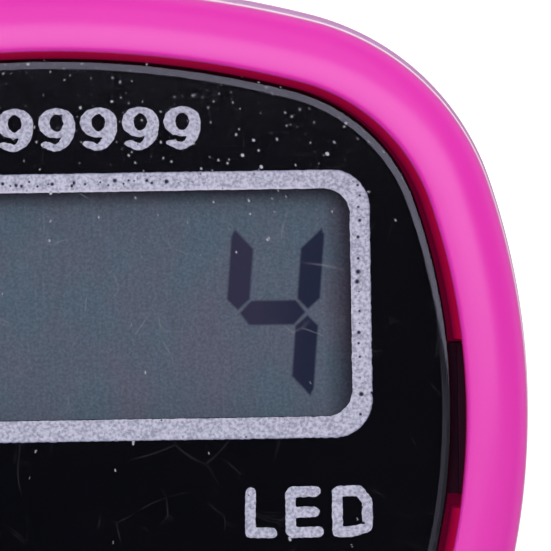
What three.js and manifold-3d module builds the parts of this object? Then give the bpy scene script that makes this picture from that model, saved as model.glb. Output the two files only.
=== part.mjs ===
// A digital tally counter worn on a finger, in millimetres. It lies with its face up (+Z) and the top
// of its display towards +Y, standing on the flat run of its band. Every piece is a named mesh.
import * as THREE from "three";
import { mergeVertices } from "three/addons/utils/BufferGeometryUtils.js";
import Module from "manifold-3d";

const wasm = await Module();
wasm.setup();

// Driving dimensions. The outline is measured from the line where the housing is widest.
const halfWidth = 14.0;
const topReach = 12.37;
const bottomReach = 21.5;
const topRadius = 30.4;
const cornerRadius = 7.3;
const sideRadius = 20.9;
const flankLean = THREE.MathUtils.degToRad(14);
const bodyDepth = 11.0; // from the flat back to the crown of the bezel
const bandDrop = 20.5; // from the flat back down to the underside of the band
const gap = 0.15; // running clearance between neighbouring pieces
const seatGap = 0.05; // between a piece and the seat that it is dropped on
const overrun = 1.0; // how far a cutting body passes the face that it cuts

// Heights above the flat back
const partingHeight = 6.2; // where the bezel stands on the rear shell
const floorThickness = 1.2;
const boardHeight = 5.0;
const boardThickness = 0.8;
const boardTop = boardHeight + boardThickness;
const shelfTop = 8.2; // the bezel's inner shelf, which the chassis plate sits on
const plateBottom = shelfTop + seatGap;
const plateTop = 9.25;
const filmThickness = 0.2;
const lensBottom = plateTop + filmThickness;
const lensThickness = 1.0;
const lensTop = lensBottom + lensThickness;

// Distances drawn in from the bezel's outer outline
const bezelWidth = 1.84; // the pink ring seen from the front
const wallSlant = 0.26; // the ring's inner wall leans in by this down to the lens
const wallInset = bezelWidth + wallSlant;
const panelGap = 0.09; // the dark line round the lens
const shelfInset = 2.55;
const skirtInset = 1.3;

// Window and display, in the same axes as the outline
const windowSide = 5.12; // from the window's edge to the widest part of the outline
const windowWidth = 2 * (halfWidth - windowSide);
const windowHeight = 6.55;
const windowDrop = 9.3; // from the top of the outline to the middle of the window
const windowY = topReach - windowDrop;
const windowCorner = 0.55;
const glassCover = { ends: 0.62, above: 0.755, below: 2.595 }; // how far the glass goes past the window
const glassWidth = windowWidth + 2 * glassCover.ends;
const glassLow = windowY - windowHeight / 2 - glassCover.below;
const glassHigh = windowY + windowHeight / 2 + glassCover.above;
const glassLedge = 1.6; // strip of the front glass that carries the contacts
const sheetThickness = 0.15; // polariser and reflector
const plateGlass = 0.55;
const displayTop = 8.6;
const frontGlassTop = displayTop - sheetThickness;
const rearGlassTop = frontGlassTop - plateGlass;
const rearGlassBottom = rearGlassTop - plateGlass;
const reflectorBottom = rearGlassBottom - sheetThickness;
const guideThickness = 1.0;

// Arcs of the outline: the corner arc touches the top arc and the side arc from inside.
const topCentreY = topReach - topRadius;
const sideCentreX = halfWidth - sideRadius;
const cornerCentre = circlesMeet([0, topCentreY], topRadius - cornerRadius, [sideCentreX, 0],
  sideRadius - cornerRadius);
const topTangent = Math.atan2(cornerCentre.y - topCentreY, cornerCentre.x);
const sideTangent = Math.atan2(cornerCentre.y, cornerCentre.x - sideCentreX);
const flankReach = sideRadius + sideCentreX * Math.cos(flankLean);
const bottomRadius = (flankReach - bottomReach * Math.sin(flankLean)) / (1 - Math.sin(flankLean));
const bottomCentreY = bottomRadius - bottomReach;

// Buttons
const countShare = 0.463; // of the radius of the outline's round end
const countMargin = 3.4; // from the bottom of the outline to the button's edge
const flangeReach = 0.6;
const smallSide = 6.4; // from a small button to the widest part of the outline
const smallLift = 6.6; // from the middle of the count button up to that of the small ones
const countRadius = bottomRadius * countShare;
const countButton = { x: 0, y: countRadius + countMargin - bottomReach, radius: countRadius,
  flange: countRadius + flangeReach, flangeLow: 7.3, flangeHigh: 8.1, edge: 11.2, top: 12.3, dome: 3.0 };
const smallButton = { x: halfWidth - smallSide, y: countButton.y + smallLift, radius: 1.4, flange: 1.9,
  flangeLow: 7.4, flangeHigh: 8.1, edge: 10.95, top: 11.35, dome: 1.5 };

// Fasteners and what they pass through
const caseScrew = { shank: 0.55, head: 1.15, headHeight: 0.7, length: 6.4, slotWidth: 0.28, slotDepth: 0.3 };
const doorScrew = { shank: 0.7, head: 1.3, headHeight: 0.4, length: 3.6, slotWidth: 0.32, slotDepth: 0.2 };

// Two button cells in a row, their door and its screw
const cell = { radius: 3.95, height: 3.6, canEdge: 0.35, between: 0.5 };
const balanceShift = 0.365; // the centre of mass lies this far above the middle of the outline
const balanceY = (topReach - bottomReach) / 2 + balanceShift;
const cellOffset = cell.radius + cell.between / 2;
const door = { thickness: 0.8, rim: 1.2, lip: 0.9 };
const bridgeThickness = 0.15;
const cellBottom = door.thickness + bridgeThickness + seatGap;
const cellTop = cellBottom + cell.height;
const wellWall = 0.7;
const doorScrewY = balanceY + cellOffset + cell.radius + door.rim + doorScrew.head + gap;
const doorLow = balanceY - cellOffset - cell.radius - door.rim;
const doorHigh = doorScrewY + doorScrew.head + door.lip;
const doorRadius = cell.radius + door.rim;

// Bosses that join chassis and rear shell: the upper two beside the door, the lower two at the flanks
const bossRadius = 1.25;
const bossRoom = { besideDoor: 0.15, upperDrop: 3.77, lowerSide: 5.7, lowerRise: 10.0 };
const upperBoss = { x: doorRadius - bossRoom.besideDoor, y: topReach - bossRoom.upperDrop };
const lowerBoss = { x: halfWidth - bossRoom.lowerSide, y: bossRoom.lowerRise - bottomReach };
const bossPlaces = [
  [upperBoss.x, upperBoss.y],
  [-upperBoss.x, upperBoss.y],
  [lowerBoss.x, lowerBoss.y],
  [-lowerBoss.x, lowerBoss.y],
];

// Finger band
const bandSide = 4.8; // from the band's root to the widest part of the outline
const band = { width: 8.0, thickness: 1.4, rootX: halfWidth - bandSide, headWidth: 2.8, headThickness: 1.0,
  flat: 3.5, outerTail: 6.6, innerTail: 2.6, bulge: 3.2, bulgeDrop: 9.5, sweep: 6.5 };
const stud = { x: -1.6, radius: 0.8, head: 1.5, headThickness: 0.45, lift: 0.1, hole: 0.95, sinkRadius: 1.7,
  sinkDepth: 0.6, spareHoleX: -4.6 };
const curveHoleShares = [0.62, 0.78]; // where the other two holes lie along the band's bend

// Counts of flat steps on round stretches
const steps = { top: 8, corner: 8, side: 6, bottom: 14, round: 32, smallRound: 16, crown: 6, band: 16 };

// Colours and finishes
const looks = {
  pinkPlastic: { color: 0xe23fae, roughness: 0.32, metalness: 0 },
  blackPlastic: { color: 0x0d0e12, roughness: 0.5, metalness: 0 },
  clearLens: { color: 0x14151b, roughness: 0.06, metalness: 0 },
  blackFilm: { color: 0x08090c, roughness: 0.4, metalness: 0 },
  displayGlass: { color: 0x5a6470, roughness: 0.1, metalness: 0 },
  polariser: { color: 0x556170, roughness: 0.35, metalness: 0 },
  foil: { color: 0xb8bcc2, roughness: 0.35, metalness: 0.8 },
  lightGuide: { color: 0xdfe6ea, roughness: 0.2, metalness: 0 },
  greenBoard: { color: 0x1f6b3a, roughness: 0.5, metalness: 0 },
  chipResin: { color: 0x0b0b0b, roughness: 0.25, metalness: 0 },
  ceramic: { color: 0x8a6a45, roughness: 0.6, metalness: 0 },
  resistor: { color: 0x15161a, roughness: 0.5, metalness: 0 },
  lampBody: { color: 0xf2f0dc, roughness: 0.3, metalness: 0 },
  steel: { color: 0xb9bcc2, roughness: 0.3, metalness: 1 },
  brassPlate: { color: 0xc9a45a, roughness: 0.35, metalness: 1 },
  chrome: { color: 0xd6d8de, roughness: 0.12, metalness: 1 },
  rubber: { color: 0xd8d4cc, roughness: 0.7, metalness: 0 },
  zebraRubber: { color: 0x3c2f3a, roughness: 0.8, metalness: 0 },
  silicone: { color: 0xd83aa2, roughness: 0.55, metalness: 0 },
};

// The point on the right where two circles cross
function circlesMeet([ax, ay], ar, [bx, by], br) {
  const apart = Math.hypot(bx - ax, by - ay);
  const along = (ar * ar - br * br + apart * apart) / (2 * apart);
  const aside = Math.sqrt(ar * ar - along * along);
  const ux = (bx - ax) / apart;
  const uy = (by - ay) / apart;
  const both = [1, -1].map((s) => new THREE.Vector2(ax + ux * along - s * uy * aside,
    ay + uy * along + s * ux * aside));
  return both[0].x > both[1].x ? both[0] : both[1];
}

// Points of one arc, without its last point unless it is asked for
function arcPoints(x, y, radius, from, to, count, withLast) {
  const points = new THREE.EllipseCurve(x, y, radius, radius, from, to, to < from).getPoints(count);
  return withLast ? points : points.slice(0, -1);
}

// One loop round the outline, counter-clockwise, drawn in from the bezel's outer edge by inset
function outlineLoop(inset) {
  const { x, y } = cornerCentre;
  const side = sideRadius - inset;
  const corner = cornerRadius - inset;
  return [
    ...arcPoints(sideCentreX, 0, side, -flankLean, sideTangent, steps.side, false),
    ...arcPoints(x, y, corner, sideTangent, topTangent, steps.corner, false),
    ...arcPoints(0, topCentreY, topRadius - inset, topTangent, Math.PI - topTangent, steps.top, false),
    ...arcPoints(-x, y, corner, Math.PI - topTangent, Math.PI - sideTangent, steps.corner, false),
    ...arcPoints(-sideCentreX, 0, side, Math.PI - sideTangent, Math.PI + flankLean, steps.side, true),
    ...arcPoints(0, bottomCentreY, bottomRadius - inset, Math.PI + flankLean, 2 * Math.PI - flankLean,
      steps.bottom, true),
  ];
}

// A closed geometry becomes a solid that can be joined and cut.
function solid(geometry) {
  const bare = geometry.index ? geometry.toNonIndexed() : geometry;
  bare.deleteAttribute("normal");
  bare.deleteAttribute("uv");
  const merged = mergeVertices(bare);
  const vertProperties = merged.attributes.position.array;
  const triVerts = new Uint32Array(merged.index.array);
  const mesh = new wasm.Mesh({ numProp: 3, vertProperties, triVerts });
  mesh.merge();
  return new wasm.Manifold(mesh);
}

function geometryOf(body) {
  const { vertProperties, triVerts } = body.getMesh();
  const geometry = new THREE.BufferGeometry();
  geometry.setAttribute("position", new THREE.BufferAttribute(new Float32Array(vertProperties), 3));
  geometry.setIndex(new THREE.BufferAttribute(new Uint32Array(triVerts), 1));
  geometry.computeVertexNormals();
  return geometry;
}

// A skin over rings of the outline. Each ring is [inset, height]. A ring-shaped body closes on itself,
// and any other is capped at its first and last ring, which go upwards.
function outlineLoft(rings, closesOnItself) {
  const loops = rings.map(([inset]) => outlineLoop(inset));
  const count = loops[0].length;
  const positions = rings.flatMap(([, height], r) => loops[r].flatMap((p) => [p.x, p.y, height]));
  const index = [];
  const last = closesOnItself ? rings.length : rings.length - 1;
  for (let r = 0; r < last; r++) {
    const above = (r + 1) % rings.length;
    for (let i = 0; i < count; i++) {
      const j = (i + 1) % count;
      const [a, b] = [r * count + i, r * count + j];
      const [c, d] = [above * count + i, above * count + j];
      index.push(a, b, d, a, d, c);
    }
  }
  if (!closesOnItself) {
    const top = (rings.length - 1) * count;
    const lid = THREE.ShapeUtils.triangulateShape(loops[0], []);
    for (const [a, b, c] of lid) index.push(a, c, b, top + a, top + b, top + c);
  }
  const geometry = new THREE.BufferGeometry();
  geometry.setAttribute("position", new THREE.Float32BufferAttribute(positions, 3));
  geometry.setIndex(index);
  return solid(geometry);
}

function plate(inset, low, high) {
  return outlineLoft([[inset, low], [inset, high]], false);
}

function block(width, depth, height, x, y, low) {
  return solid(new THREE.BoxGeometry(width, depth, height)).translate(x, y, low + height / 2);
}

function cylinder(radius, low, high, x, y, segments = steps.smallRound) {
  const shape = new THREE.CylinderGeometry(radius, radius, high - low, segments);
  return solid(shape.rotateX(Math.PI / 2)).translate(x, y, (low + high) / 2);
}

// A turned body from [radius, height] points that start and end on the axis, lowest first
function turned(profile, x, y, segments = steps.round) {
  const points = profile.map(([radius, height]) => new THREE.Vector2(radius, height));
  return solid(new THREE.LatheGeometry(points, segments).rotateX(Math.PI / 2)).translate(x, y, 0);
}

// A flat shape drawn in X and Y and raised from low to high
function raised(shape, low, high, curveSteps = steps.smallRound / 2) {
  const geometry = new THREE.ExtrudeGeometry(shape, { depth: high - low, bevelEnabled: false,
    curveSegments: curveSteps });
  return solid(geometry).translate(0, 0, low);
}

function roundedRectangle(width, height, radius, y) {
  const [w, h] = [width / 2, height / 2];
  const shape = new THREE.Shape();
  shape.moveTo(-w + radius, y - h);
  shape.lineTo(w - radius, y - h);
  shape.absarc(w - radius, y - h + radius, radius, -Math.PI / 2, 0);
  shape.lineTo(w, y + h - radius);
  shape.absarc(w - radius, y + h - radius, radius, 0, Math.PI / 2);
  shape.lineTo(-w + radius, y + h);
  shape.absarc(-w + radius, y + h - radius, radius, Math.PI / 2, Math.PI);
  shape.lineTo(-w, y - h + radius);
  shape.absarc(-w + radius, y - h + radius, radius, Math.PI, Math.PI * 1.5);
  return shape;
}

// An oval with straight sides along Y
function oval(radius, low, high) {
  const shape = new THREE.Shape();
  shape.absarc(0, high - radius, radius, 0, Math.PI);
  shape.absarc(0, low + radius, radius, Math.PI, Math.PI * 2);
  return shape;
}

const counter = new THREE.Group();
const housing = new THREE.Group();
housing.position.set(0, (bottomReach - topReach) / 2, bandDrop);
counter.add(housing);

function add(name, look, body) {
  const mesh = new THREE.Mesh(geometryOf(body), new THREE.MeshStandardMaterial(looks[look]));
  mesh.name = name;
  housing.add(mesh);
}

// The pink ring: outer wall, crown near its inner edge, slanted inner wall, shelf and skirt
function bezelRing() {
  const wallTop = 8.8;
  const crown = { inset: 1.4, rise: 1.4, lean: 0.55 };
  const lipDrop = 0.2;
  const section = new THREE.Path();
  section.moveTo(0, partingHeight);
  section.lineTo(0, wallTop);
  section.bezierCurveTo(0, wallTop + crown.rise, crown.lean, bodyDepth, crown.inset, bodyDepth);
  section.quadraticCurveTo(bezelWidth, bodyDepth, bezelWidth, bodyDepth - lipDrop);
  const rings = section.getPoints(steps.crown).map((p) => [p.x, p.y]);
  const shelfThickness = 0.6;
  const tongue = { inset: 0.8, drop: 0.5 };
  rings.push([wallInset, lensTop - panelGap], [wallInset, shelfTop], [shelfInset, shelfTop]);
  rings.push([shelfInset, shelfTop - shelfThickness], [skirtInset, shelfTop - shelfThickness]);
  rings.push([skirtInset, partingHeight - tongue.drop], [tongue.inset, partingHeight - tongue.drop]);
  rings.push([tongue.inset, partingHeight]);
  let ring = outlineLoft(rings, true);
  for (const [x, y] of bossPlaces) {
    ring = ring.subtract(cylinder(bossRadius + gap, partingHeight, plateBottom, x, y));
  }
  for (const side of [1, -1]) ring = ring.subtract(snapNotch(side, gap / 2));
  return ring;
}

// Room in the ring's inner wall for one snap tab of the chassis
const notch = { length: 4.7, y: -0.33, depth: 0.42, top: 10.75, inner: 1.0 };
function snapNotch(side, clearance) {
  const inner = halfWidth - wallInset - notch.inner;
  const width = notch.inner + notch.depth;
  return block(width, notch.length, notch.top - plateBottom + clearance, side * (inner + width / 2), notch.y,
    plateBottom - clearance);
}

function rearShell() {
  const proud = 0.18; // the rear shell stands out past the bezel all round
  const backEdge = { inset: 2.0, height: 2.4, pull: 0.7, rise: 0.5 };
  const wall = { inset: 1.45, fillet: 0.3, grooveInset: 0.7, grooveDepth: 0.6 };
  const section = new THREE.Path();
  section.moveTo(backEdge.inset, 0);
  section.bezierCurveTo(backEdge.pull, 0, -proud, backEdge.rise, -proud, backEdge.height);
  section.lineTo(-proud, partingHeight);
  let shell = outlineLoft(section.getPoints(steps.crown).map((p) => [p.x, p.y]), false);
  const grooveLow = partingHeight - wall.grooveDepth;
  const cavity = outlineLoft([
    [wall.inset + wall.fillet, floorThickness],
    [wall.inset, floorThickness + wall.fillet],
    [wall.inset, grooveLow],
    [wall.grooveInset, grooveLow],
    [wall.grooveInset, partingHeight + overrun],
  ], false);
  shell = shell.subtract(cavity);
  shell = shell.add(batteryWell()).add(screwPads()).add(boardPosts());
  return shell.subtract(backOpenings());
}

// Wall round the two cells and the boss that takes the door's screw
function batteryWell() {
  const outer = cell.radius + gap + wellWall;
  const reach = cellOffset + outer;
  const wellTop = boardHeight - seatGap;
  const well = raised(oval(outer, balanceY - reach, balanceY + reach), 0, wellTop);
  return well.add(cylinder(doorScrew.head + wellWall / 2, 0, doorScrew.length + wellWall, 0, doorScrewY));
}

// Thick pads under the case screws, low enough for the chassis bosses to stand on
function screwPads() {
  const padTop = floorThickness + caseScrew.headHeight;
  const pads = bossPlaces.map(([x, y]) => cylinder(bossRadius, floorThickness / 2, padTop, x, y));
  return pads.reduce((a, b) => a.add(b));
}

// Posts that the circuit board lies on
const posts = { radius: 0.8, upperSide: 5.0, upperDrop: 7.17, lowerX: 4.6, lowerRise: 4.2 };
function boardPosts() {
  const upperX = halfWidth - posts.upperSide;
  const lowerY = posts.lowerRise - bottomReach;
  const upperY = topReach - posts.upperDrop;
  const places = [1, -1].flatMap((s) => [[s * upperX, upperY], [s * posts.lowerX, lowerY]]);
  const rods = places.map(([x, y]) => cylinder(posts.radius, floorThickness / 2, boardHeight, x, y));
  return rods.reduce((a, b) => a.add(b));
}

function backOpenings() {
  const cellRoom = cell.radius + gap;
  const reach = cellOffset + cellRoom;
  const doorRoom = doorRadius + gap;
  const cuts = [
    raised(oval(doorRoom, doorLow - gap, doorHigh + gap), -overrun, door.thickness),
    raised(oval(cellRoom, balanceY - reach, balanceY + reach), 0, boardHeight + overrun),
    cylinder(doorScrew.shank + seatGap, 0, doorScrew.length + seatGap, 0, doorScrewY),
  ];
  for (const [x, y] of bossPlaces) {
    cuts.push(cylinder(caseScrew.head + gap, -overrun, caseScrew.headHeight + gap, x, y));
    cuts.push(cylinder(caseScrew.shank + seatGap, 0, boardHeight, x, y));
  }
  const slotWidth = band.thickness + 2 * gap;
  const slotLength = band.width + 2 * gap;
  for (const side of [1, -1]) {
    const depth = floorThickness + 2 * overrun;
    cuts.push(block(slotWidth, slotLength, depth, side * band.rootX, balanceY, -overrun));
  }
  return cuts.reduce((a, b) => a.add(b));
}

function buttonHoles(low, high, clearance) {
  const count = cylinder(countButton.radius + clearance, low, high, 0, countButton.y, steps.round);
  const { radius, x, y } = smallButton;
  const small = [1, -1].map((side) => cylinder(radius + clearance, low, high, side * x, y));
  return count.add(small[0]).add(small[1]);
}

// Clear panel with a rounded front edge and a hole for each button
function faceLens() {
  const edge = 0.22;
  const roundShare = 1 / 3;
  const inset = wallInset + panelGap;
  const body = outlineLoft([
    [inset, lensBottom],
    [inset, lensTop - edge],
    [inset + edge * roundShare, lensTop - edge * roundShare],
    [inset + edge, lensTop],
  ], false);
  return body.subtract(buttonHoles(lensBottom - overrun, lensTop + overrun, gap));
}

// Black printed film behind the lens, open at the window
function faceFilm() {
  const film = plate(wallInset + panelGap, plateTop, lensBottom);
  const outline = roundedRectangle(windowWidth, windowHeight, windowCorner, windowY);
  const opening = raised(outline, plateTop - overrun, lensBottom + overrun);
  return film.subtract(opening).subtract(buttonHoles(plateTop - overrun, lensBottom + overrun, gap));
}

// The black chassis that carries display, lens and film and is screwed to the rear shell
function chassis() {
  const windowMargin = 0.15;
  const displayGap = 0.1;
  const rib = { thickness: 0.6, shorter: 3.5, fromBoss: 0.45 };
  const sideLength = glassHigh - glassLow - rib.shorter;
  const topLength = 2 * (upperBoss.x - bossRadius - rib.fromBoss);
  const edgeX = glassWidth / 2 + displayGap;
  const glassMiddle = (glassLow + glassHigh) / 2;
  let body = plate(wallInset + panelGap, plateBottom, plateTop);
  const ribHeight = plateBottom + seatGap - boardTop;
  for (const side of [1, -1]) {
    const x = side * (edgeX + rib.thickness / 2);
    body = body.add(block(rib.thickness, sideLength, ribHeight, x, glassMiddle, boardTop));
  }
  for (const y of [glassHigh + displayGap + rib.thickness / 2, glassLow - displayGap - rib.thickness / 2]) {
    body = body.add(block(topLength, rib.thickness, ribHeight, 0, y, boardTop));
  }
  body = body.add(chassisBosses());
  for (const side of [1, -1]) body = body.add(snapTab(side));
  const [openWidth, openHeight] = [windowWidth + windowMargin * 2, windowHeight + windowMargin * 2];
  const opening = roundedRectangle(openWidth, openHeight, windowCorner, windowY);
  const pocket = block(glassWidth + 2 * displayGap, glassHigh - glassLow + 2 * displayGap,
    displayTop + seatGap - plateBottom + overrun, 0, glassMiddle, plateBottom - overrun);
  return body.subtract(raised(opening, plateBottom - overrun, plateTop + overrun)).subtract(pocket)
    .subtract(buttonHoles(plateBottom - overrun, plateTop + overrun, gap));
}

// Tubes that the case screws bite into, cut back to the outline of the chassis plate
function chassisBosses() {
  const low = floorThickness + caseScrew.headHeight + seatGap;
  const high = plateTop - seatGap;
  const tubes = bossPlaces.map(([x, y]) => cylinder(bossRadius, low, high, x, y)
    .subtract(cylinder(caseScrew.shank + seatGap, 0, caseScrew.length + caseScrew.headHeight, x, y)));
  const within = plate(wallInset + panelGap + seatGap, 0, high + overrun);
  return tubes.reduce((a, b) => a.add(b)).intersect(within);
}

// One tab that springs into the notch of the bezel's inner wall
function snapTab(side) {
  const tab = { rise: 0.5, reach: 0.3, width: 1.0, lower: 0.02 };
  const outer = halfWidth - wallInset + tab.reach;
  const length = notch.length - 2 * gap;
  const low = plateBottom + tab.lower;
  const base = block(tab.width, length, plateTop - low, side * (outer - tab.width / 2), notch.y, low);
  const outerWall = tab.reach - seatGap;
  const rise = block(outerWall, length, lensBottom + tab.rise - low, side * (outer - outerWall / 2),
    notch.y, low);
  return base.add(rise);
}

function sheet(width, low, high, bottom, top) {
  return block(width, high - low, top - bottom, 0, (low + high) / 2, bottom);
}

function addDisplay() {
  const edge = 0.4; // the sheets are cut back from the glass
  const bodyLow = glassLow + glassLedge;
  add("lcd_front_polariser", "polariser",
    sheet(glassWidth - 2 * edge, bodyLow + edge, glassHigh - edge, frontGlassTop, displayTop));
  add("lcd_front_glass", "displayGlass", sheet(glassWidth, glassLow, glassHigh, rearGlassTop, frontGlassTop));
  add("lcd_rear_glass", "displayGlass", sheet(glassWidth, bodyLow, glassHigh, rearGlassBottom, rearGlassTop));
  add("lcd_reflector", "foil",
    sheet(glassWidth - 2 * edge, bodyLow + edge, glassHigh - edge, reflectorBottom, rearGlassBottom));
  const guideTop = reflectorBottom - seatGap;
  add("light_guide", "lightGuide",
    sheet(glassWidth - 2 * edge, bodyLow + edge, glassHigh - edge, guideTop - guideThickness, guideTop));
  const zebra = { shorter: 2.0, thickness: 0.9 };
  add("zebra_strip", "zebraRubber", block(glassWidth - zebra.shorter, zebra.thickness,
    rearGlassTop - boardTop, 0, glassLow + glassLedge / 2, boardTop));
}

function circuitBoard() {
  const inset = 1.65;
  let board = plate(inset, boardHeight, boardTop);
  for (const [x, y] of bossPlaces) {
    board = board.subtract(cylinder(bossRadius + gap, boardHeight - overrun, boardTop + overrun, x, y));
  }
  return board;
}

// Small parts soldered to the board
function addComponents() {
  const chip = { radius: 2.2, thickness: 1.1, rim: 0.25, rise: 5.3 };
  const chipLow = boardHeight - chip.thickness;
  add("chip_blob", "chipResin", turned([[0, chipLow], [chip.radius / 2, chipLow + chip.rim / 2],
    [chip.radius, boardHeight - chip.rim], [chip.radius, boardHeight], [0, boardHeight]], 0,
    chip.rise - bottomReach));
  const besideWell = cell.radius + gap + wellWall;
  const crystal = { radius: 0.75, length: 5.2, room: 0.3, lift: 0.02 };
  const { radius, length } = crystal;
  const can = solid(new THREE.CylinderGeometry(radius, radius, length, steps.smallRound));
  add("crystal_can", "steel", can.translate(besideWell + crystal.room + radius, balanceY,
    boardHeight - radius - crystal.lift));
  const chipPart = { length: 1.6, width: 0.8, height: 0.5, room: 0.4, pitch: 1.8 };
  const chipX = besideWell + chipPart.room + chipPart.length / 2;
  const places = [["chip_capacitor", "ceramic", 1, 0], ["chip_resistor_1", "resistor", -1, 0],
    ["chip_resistor_2", "resistor", -1, 1]];
  for (const [name, look, side, row] of places) {
    const at = [side * chipX, row * chipPart.pitch, boardHeight - chipPart.height];
    add(name, look, block(chipPart.length, chipPart.width, chipPart.height, ...at));
  }
  const lamp = { length: 1.6, width: 0.8, height: 0.3 };
  add("led_lamp", "lampBody", block(lamp.length, lamp.width, lamp.height, 0, windowY, boardTop));
}

// A button cell: the can below, the smaller cap above. One of the two lies the other way up.
function buttonCell(capUp) {
  const capShare = 0.8;
  const rim = cell.canEdge;
  const cap = cell.radius * capShare;
  const up = [[0, 0], [cell.radius - rim / 2, 0], [cell.radius, rim / 2], [cell.radius, cell.height - rim],
    [cap, cell.height - rim], [cap, cell.height], [0, cell.height]];
  const profile = capUp ? up : up.map(([r, z]) => [r, cell.height - z]).reverse();
  return profile.map(([r, z]) => [r, z + cellBottom]);
}

function addPower() {
  const dish = { inner: 0.6, middle: 1.6, outer: 2.4, sheet: 0.15 };
  const dishLow = cellTop + seatGap;
  const dishRim = boardHeight - dish.sheet;
  const places = [["1", 1, "positive"], ["2", -1, "negative"]];
  for (const [number, side, pole] of places) {
    const y = balanceY + side * cellOffset;
    add(`battery_${number}`, "steel", turned(buttonCell(side < 0), 0, y));
    add(`contact_${pole}`, "brassPlate", turned([[0, dishLow], [dish.inner, dishLow], [dish.middle, dishRim],
      [dish.outer, dishRim], [dish.outer, boardHeight], [0, boardHeight]], 0, y, steps.smallRound));
  }
  const bridge = { radius: 2.0, past: 2.2 };
  const bridgeReach = cellOffset + bridge.past;
  const strip = oval(bridge.radius, balanceY - bridgeReach, balanceY + bridgeReach);
  add("contact_bridge", "brassPlate", raised(strip, door.thickness, door.thickness + bridgeThickness));
}

function batteryDoor() {
  const nail = { width: 4.0, depth: 0.9, sink: 0.35 };
  const leaf = raised(oval(doorRadius, doorLow, doorHigh), 0, door.thickness);
  const sink = cylinder(doorScrew.head + gap, -overrun, doorScrew.headHeight + seatGap, 0, doorScrewY);
  const hole = cylinder(doorScrew.shank + gap, -overrun, door.thickness + overrun, 0, doorScrewY);
  const grip = block(nail.width, nail.depth, nail.sink + overrun, 0, doorLow + nail.depth, -overrun);
  return leaf.subtract(sink).subtract(hole).subtract(grip);
}

// A screw pointing up from its head, with a cross recess
function screw(sizes, x, y, headLow) {
  const { head, shank, length, slotWidth, slotDepth } = sizes;
  const headTop = headLow + sizes.headHeight - seatGap;
  const rounding = slotDepth / 2;
  const body = turned([[0, headLow], [head - rounding, headLow], [head, headLow + rounding], [head, headTop],
    [shank, headTop], [shank, length - shank], [0, length]], x, y, steps.smallRound);
  const recess = block(head, slotWidth, slotDepth + overrun, x, y, headLow - overrun)
    .add(block(slotWidth, head, slotDepth + overrun, x, y, headLow - overrun));
  return body.subtract(recess);
}

// A capped button with its flange under the chassis plate
function button(sizes, x, y, segments) {
  const { radius, flange, flangeLow, flangeHigh, edge, top } = sizes;
  const shoulder = top - edge;
  const dome = new THREE.Path();
  dome.moveTo(0, flangeLow);
  dome.lineTo(flange, flangeLow);
  dome.lineTo(flange, flangeHigh);
  dome.lineTo(radius, flangeHigh);
  dome.lineTo(radius, edge - shoulder / 2);
  dome.bezierCurveTo(radius, edge + shoulder / 2, radius - shoulder, top, 0, top);
  return turned(dome.getPoints(steps.crown).map((p) => [p.x, p.y]), x, y, segments);
}

// A rubber dome under a button, hollow underneath
function rubberDome(sizes, x, y) {
  const wall = 0.3;
  const headShare = 0.6;
  const top = sizes.flangeLow - seatGap;
  const foot = sizes.dome;
  const head = foot * headShare;
  return turned([[0, top - wall], [head - wall, top - wall], [foot - wall, boardTop], [foot, boardTop],
    [head, top], [0, top]], x, y, steps.smallRound);
}

// Both long sides of a band of even thickness along a centre line, as a shape in X and Z
function bandShape(centre) {
  const half = band.thickness / 2;
  const sides = centre.map((p, i) => {
    const before = centre[Math.max(i - 1, 0)];
    const after = centre[Math.min(i + 1, centre.length - 1)];
    const along = after.clone().sub(before).normalize();
    return [new THREE.Vector2(p.x - along.y * half, p.y + along.x * half),
      new THREE.Vector2(p.x + along.y * half, p.y - along.x * half)];
  });
  return new THREE.Shape([...sides.map((s) => s[0]), ...sides.map((s) => s[1]).reverse()]);
}

function acrossBand(shape) {
  const geometry = new THREE.ExtrudeGeometry(shape, { depth: band.width, bevelEnabled: false });
  return solid(geometry.rotateX(Math.PI / 2)).translate(0, balanceY + band.width / 2, 0);
}

// The bend from the shell's slot to the flat run, on the right
function bandBend(runHeight) {
  return new THREE.CubicBezierCurve(
    new THREE.Vector2(band.rootX, 0),
    new THREE.Vector2(band.rootX + band.bulge, -band.bulgeDrop),
    new THREE.Vector2(band.flat + band.sweep, runHeight),
    new THREE.Vector2(band.flat, runHeight),
  );
}

// One half of the band on the right: a head inside the shell, the bend and the flat run
function bandHalf(runHeight, tail) {
  const headLow = floorThickness + gap;
  const root = new THREE.Vector2(band.rootX, headLow + band.headThickness / 2);
  const end = new THREE.Vector2(-tail, runHeight);
  const centre = [root, ...bandBend(runHeight).getPoints(steps.band), end];
  const head = block(band.headWidth, band.width, band.headThickness, band.rootX, balanceY, headLow);
  return acrossBand(bandShape(centre)).add(head);
}

function holeHalf() {
  const runHeight = -bandDrop + band.thickness / 2;
  const low = -bandDrop - overrun;
  const high = -bandDrop + band.thickness + overrun;
  let half = bandHalf(runHeight, band.outerTail);
  half = half.subtract(cylinder(stud.hole, low, high, stud.x, balanceY));
  half = half.subtract(cylinder(stud.hole, low, high, stud.spareHoleX, balanceY));
  half = half.subtract(cylinder(stud.sinkRadius, low, -bandDrop + stud.sinkDepth, stud.x, balanceY));
  const bend = bandBend(runHeight);
  for (const share of curveHoleShares) {
    const at = bend.getPoint(share);
    const along = bend.getTangent(share);
    const lean = THREE.MathUtils.radToDeg(Math.atan2(along.y, along.x));
    const punch = cylinder(stud.hole, -band.thickness, band.thickness, 0, 0).rotate(0, -lean, 0);
    half = half.subtract(punch.translate(at.x, balanceY, at.y));
  }
  return half;
}

function studHalf() {
  const runHeight = -bandDrop + band.thickness * 1.5;
  const headLow = -bandDrop + stud.lift;
  const half = bandHalf(runHeight, band.innerTail).mirror([1, 0, 0]);
  const shank = cylinder(stud.radius, headLow, runHeight, stud.x, balanceY);
  const head = cylinder(stud.head, headLow, headLow + stud.headThickness, stud.x, balanceY);
  return half.add(shank).add(head);
}

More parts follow.
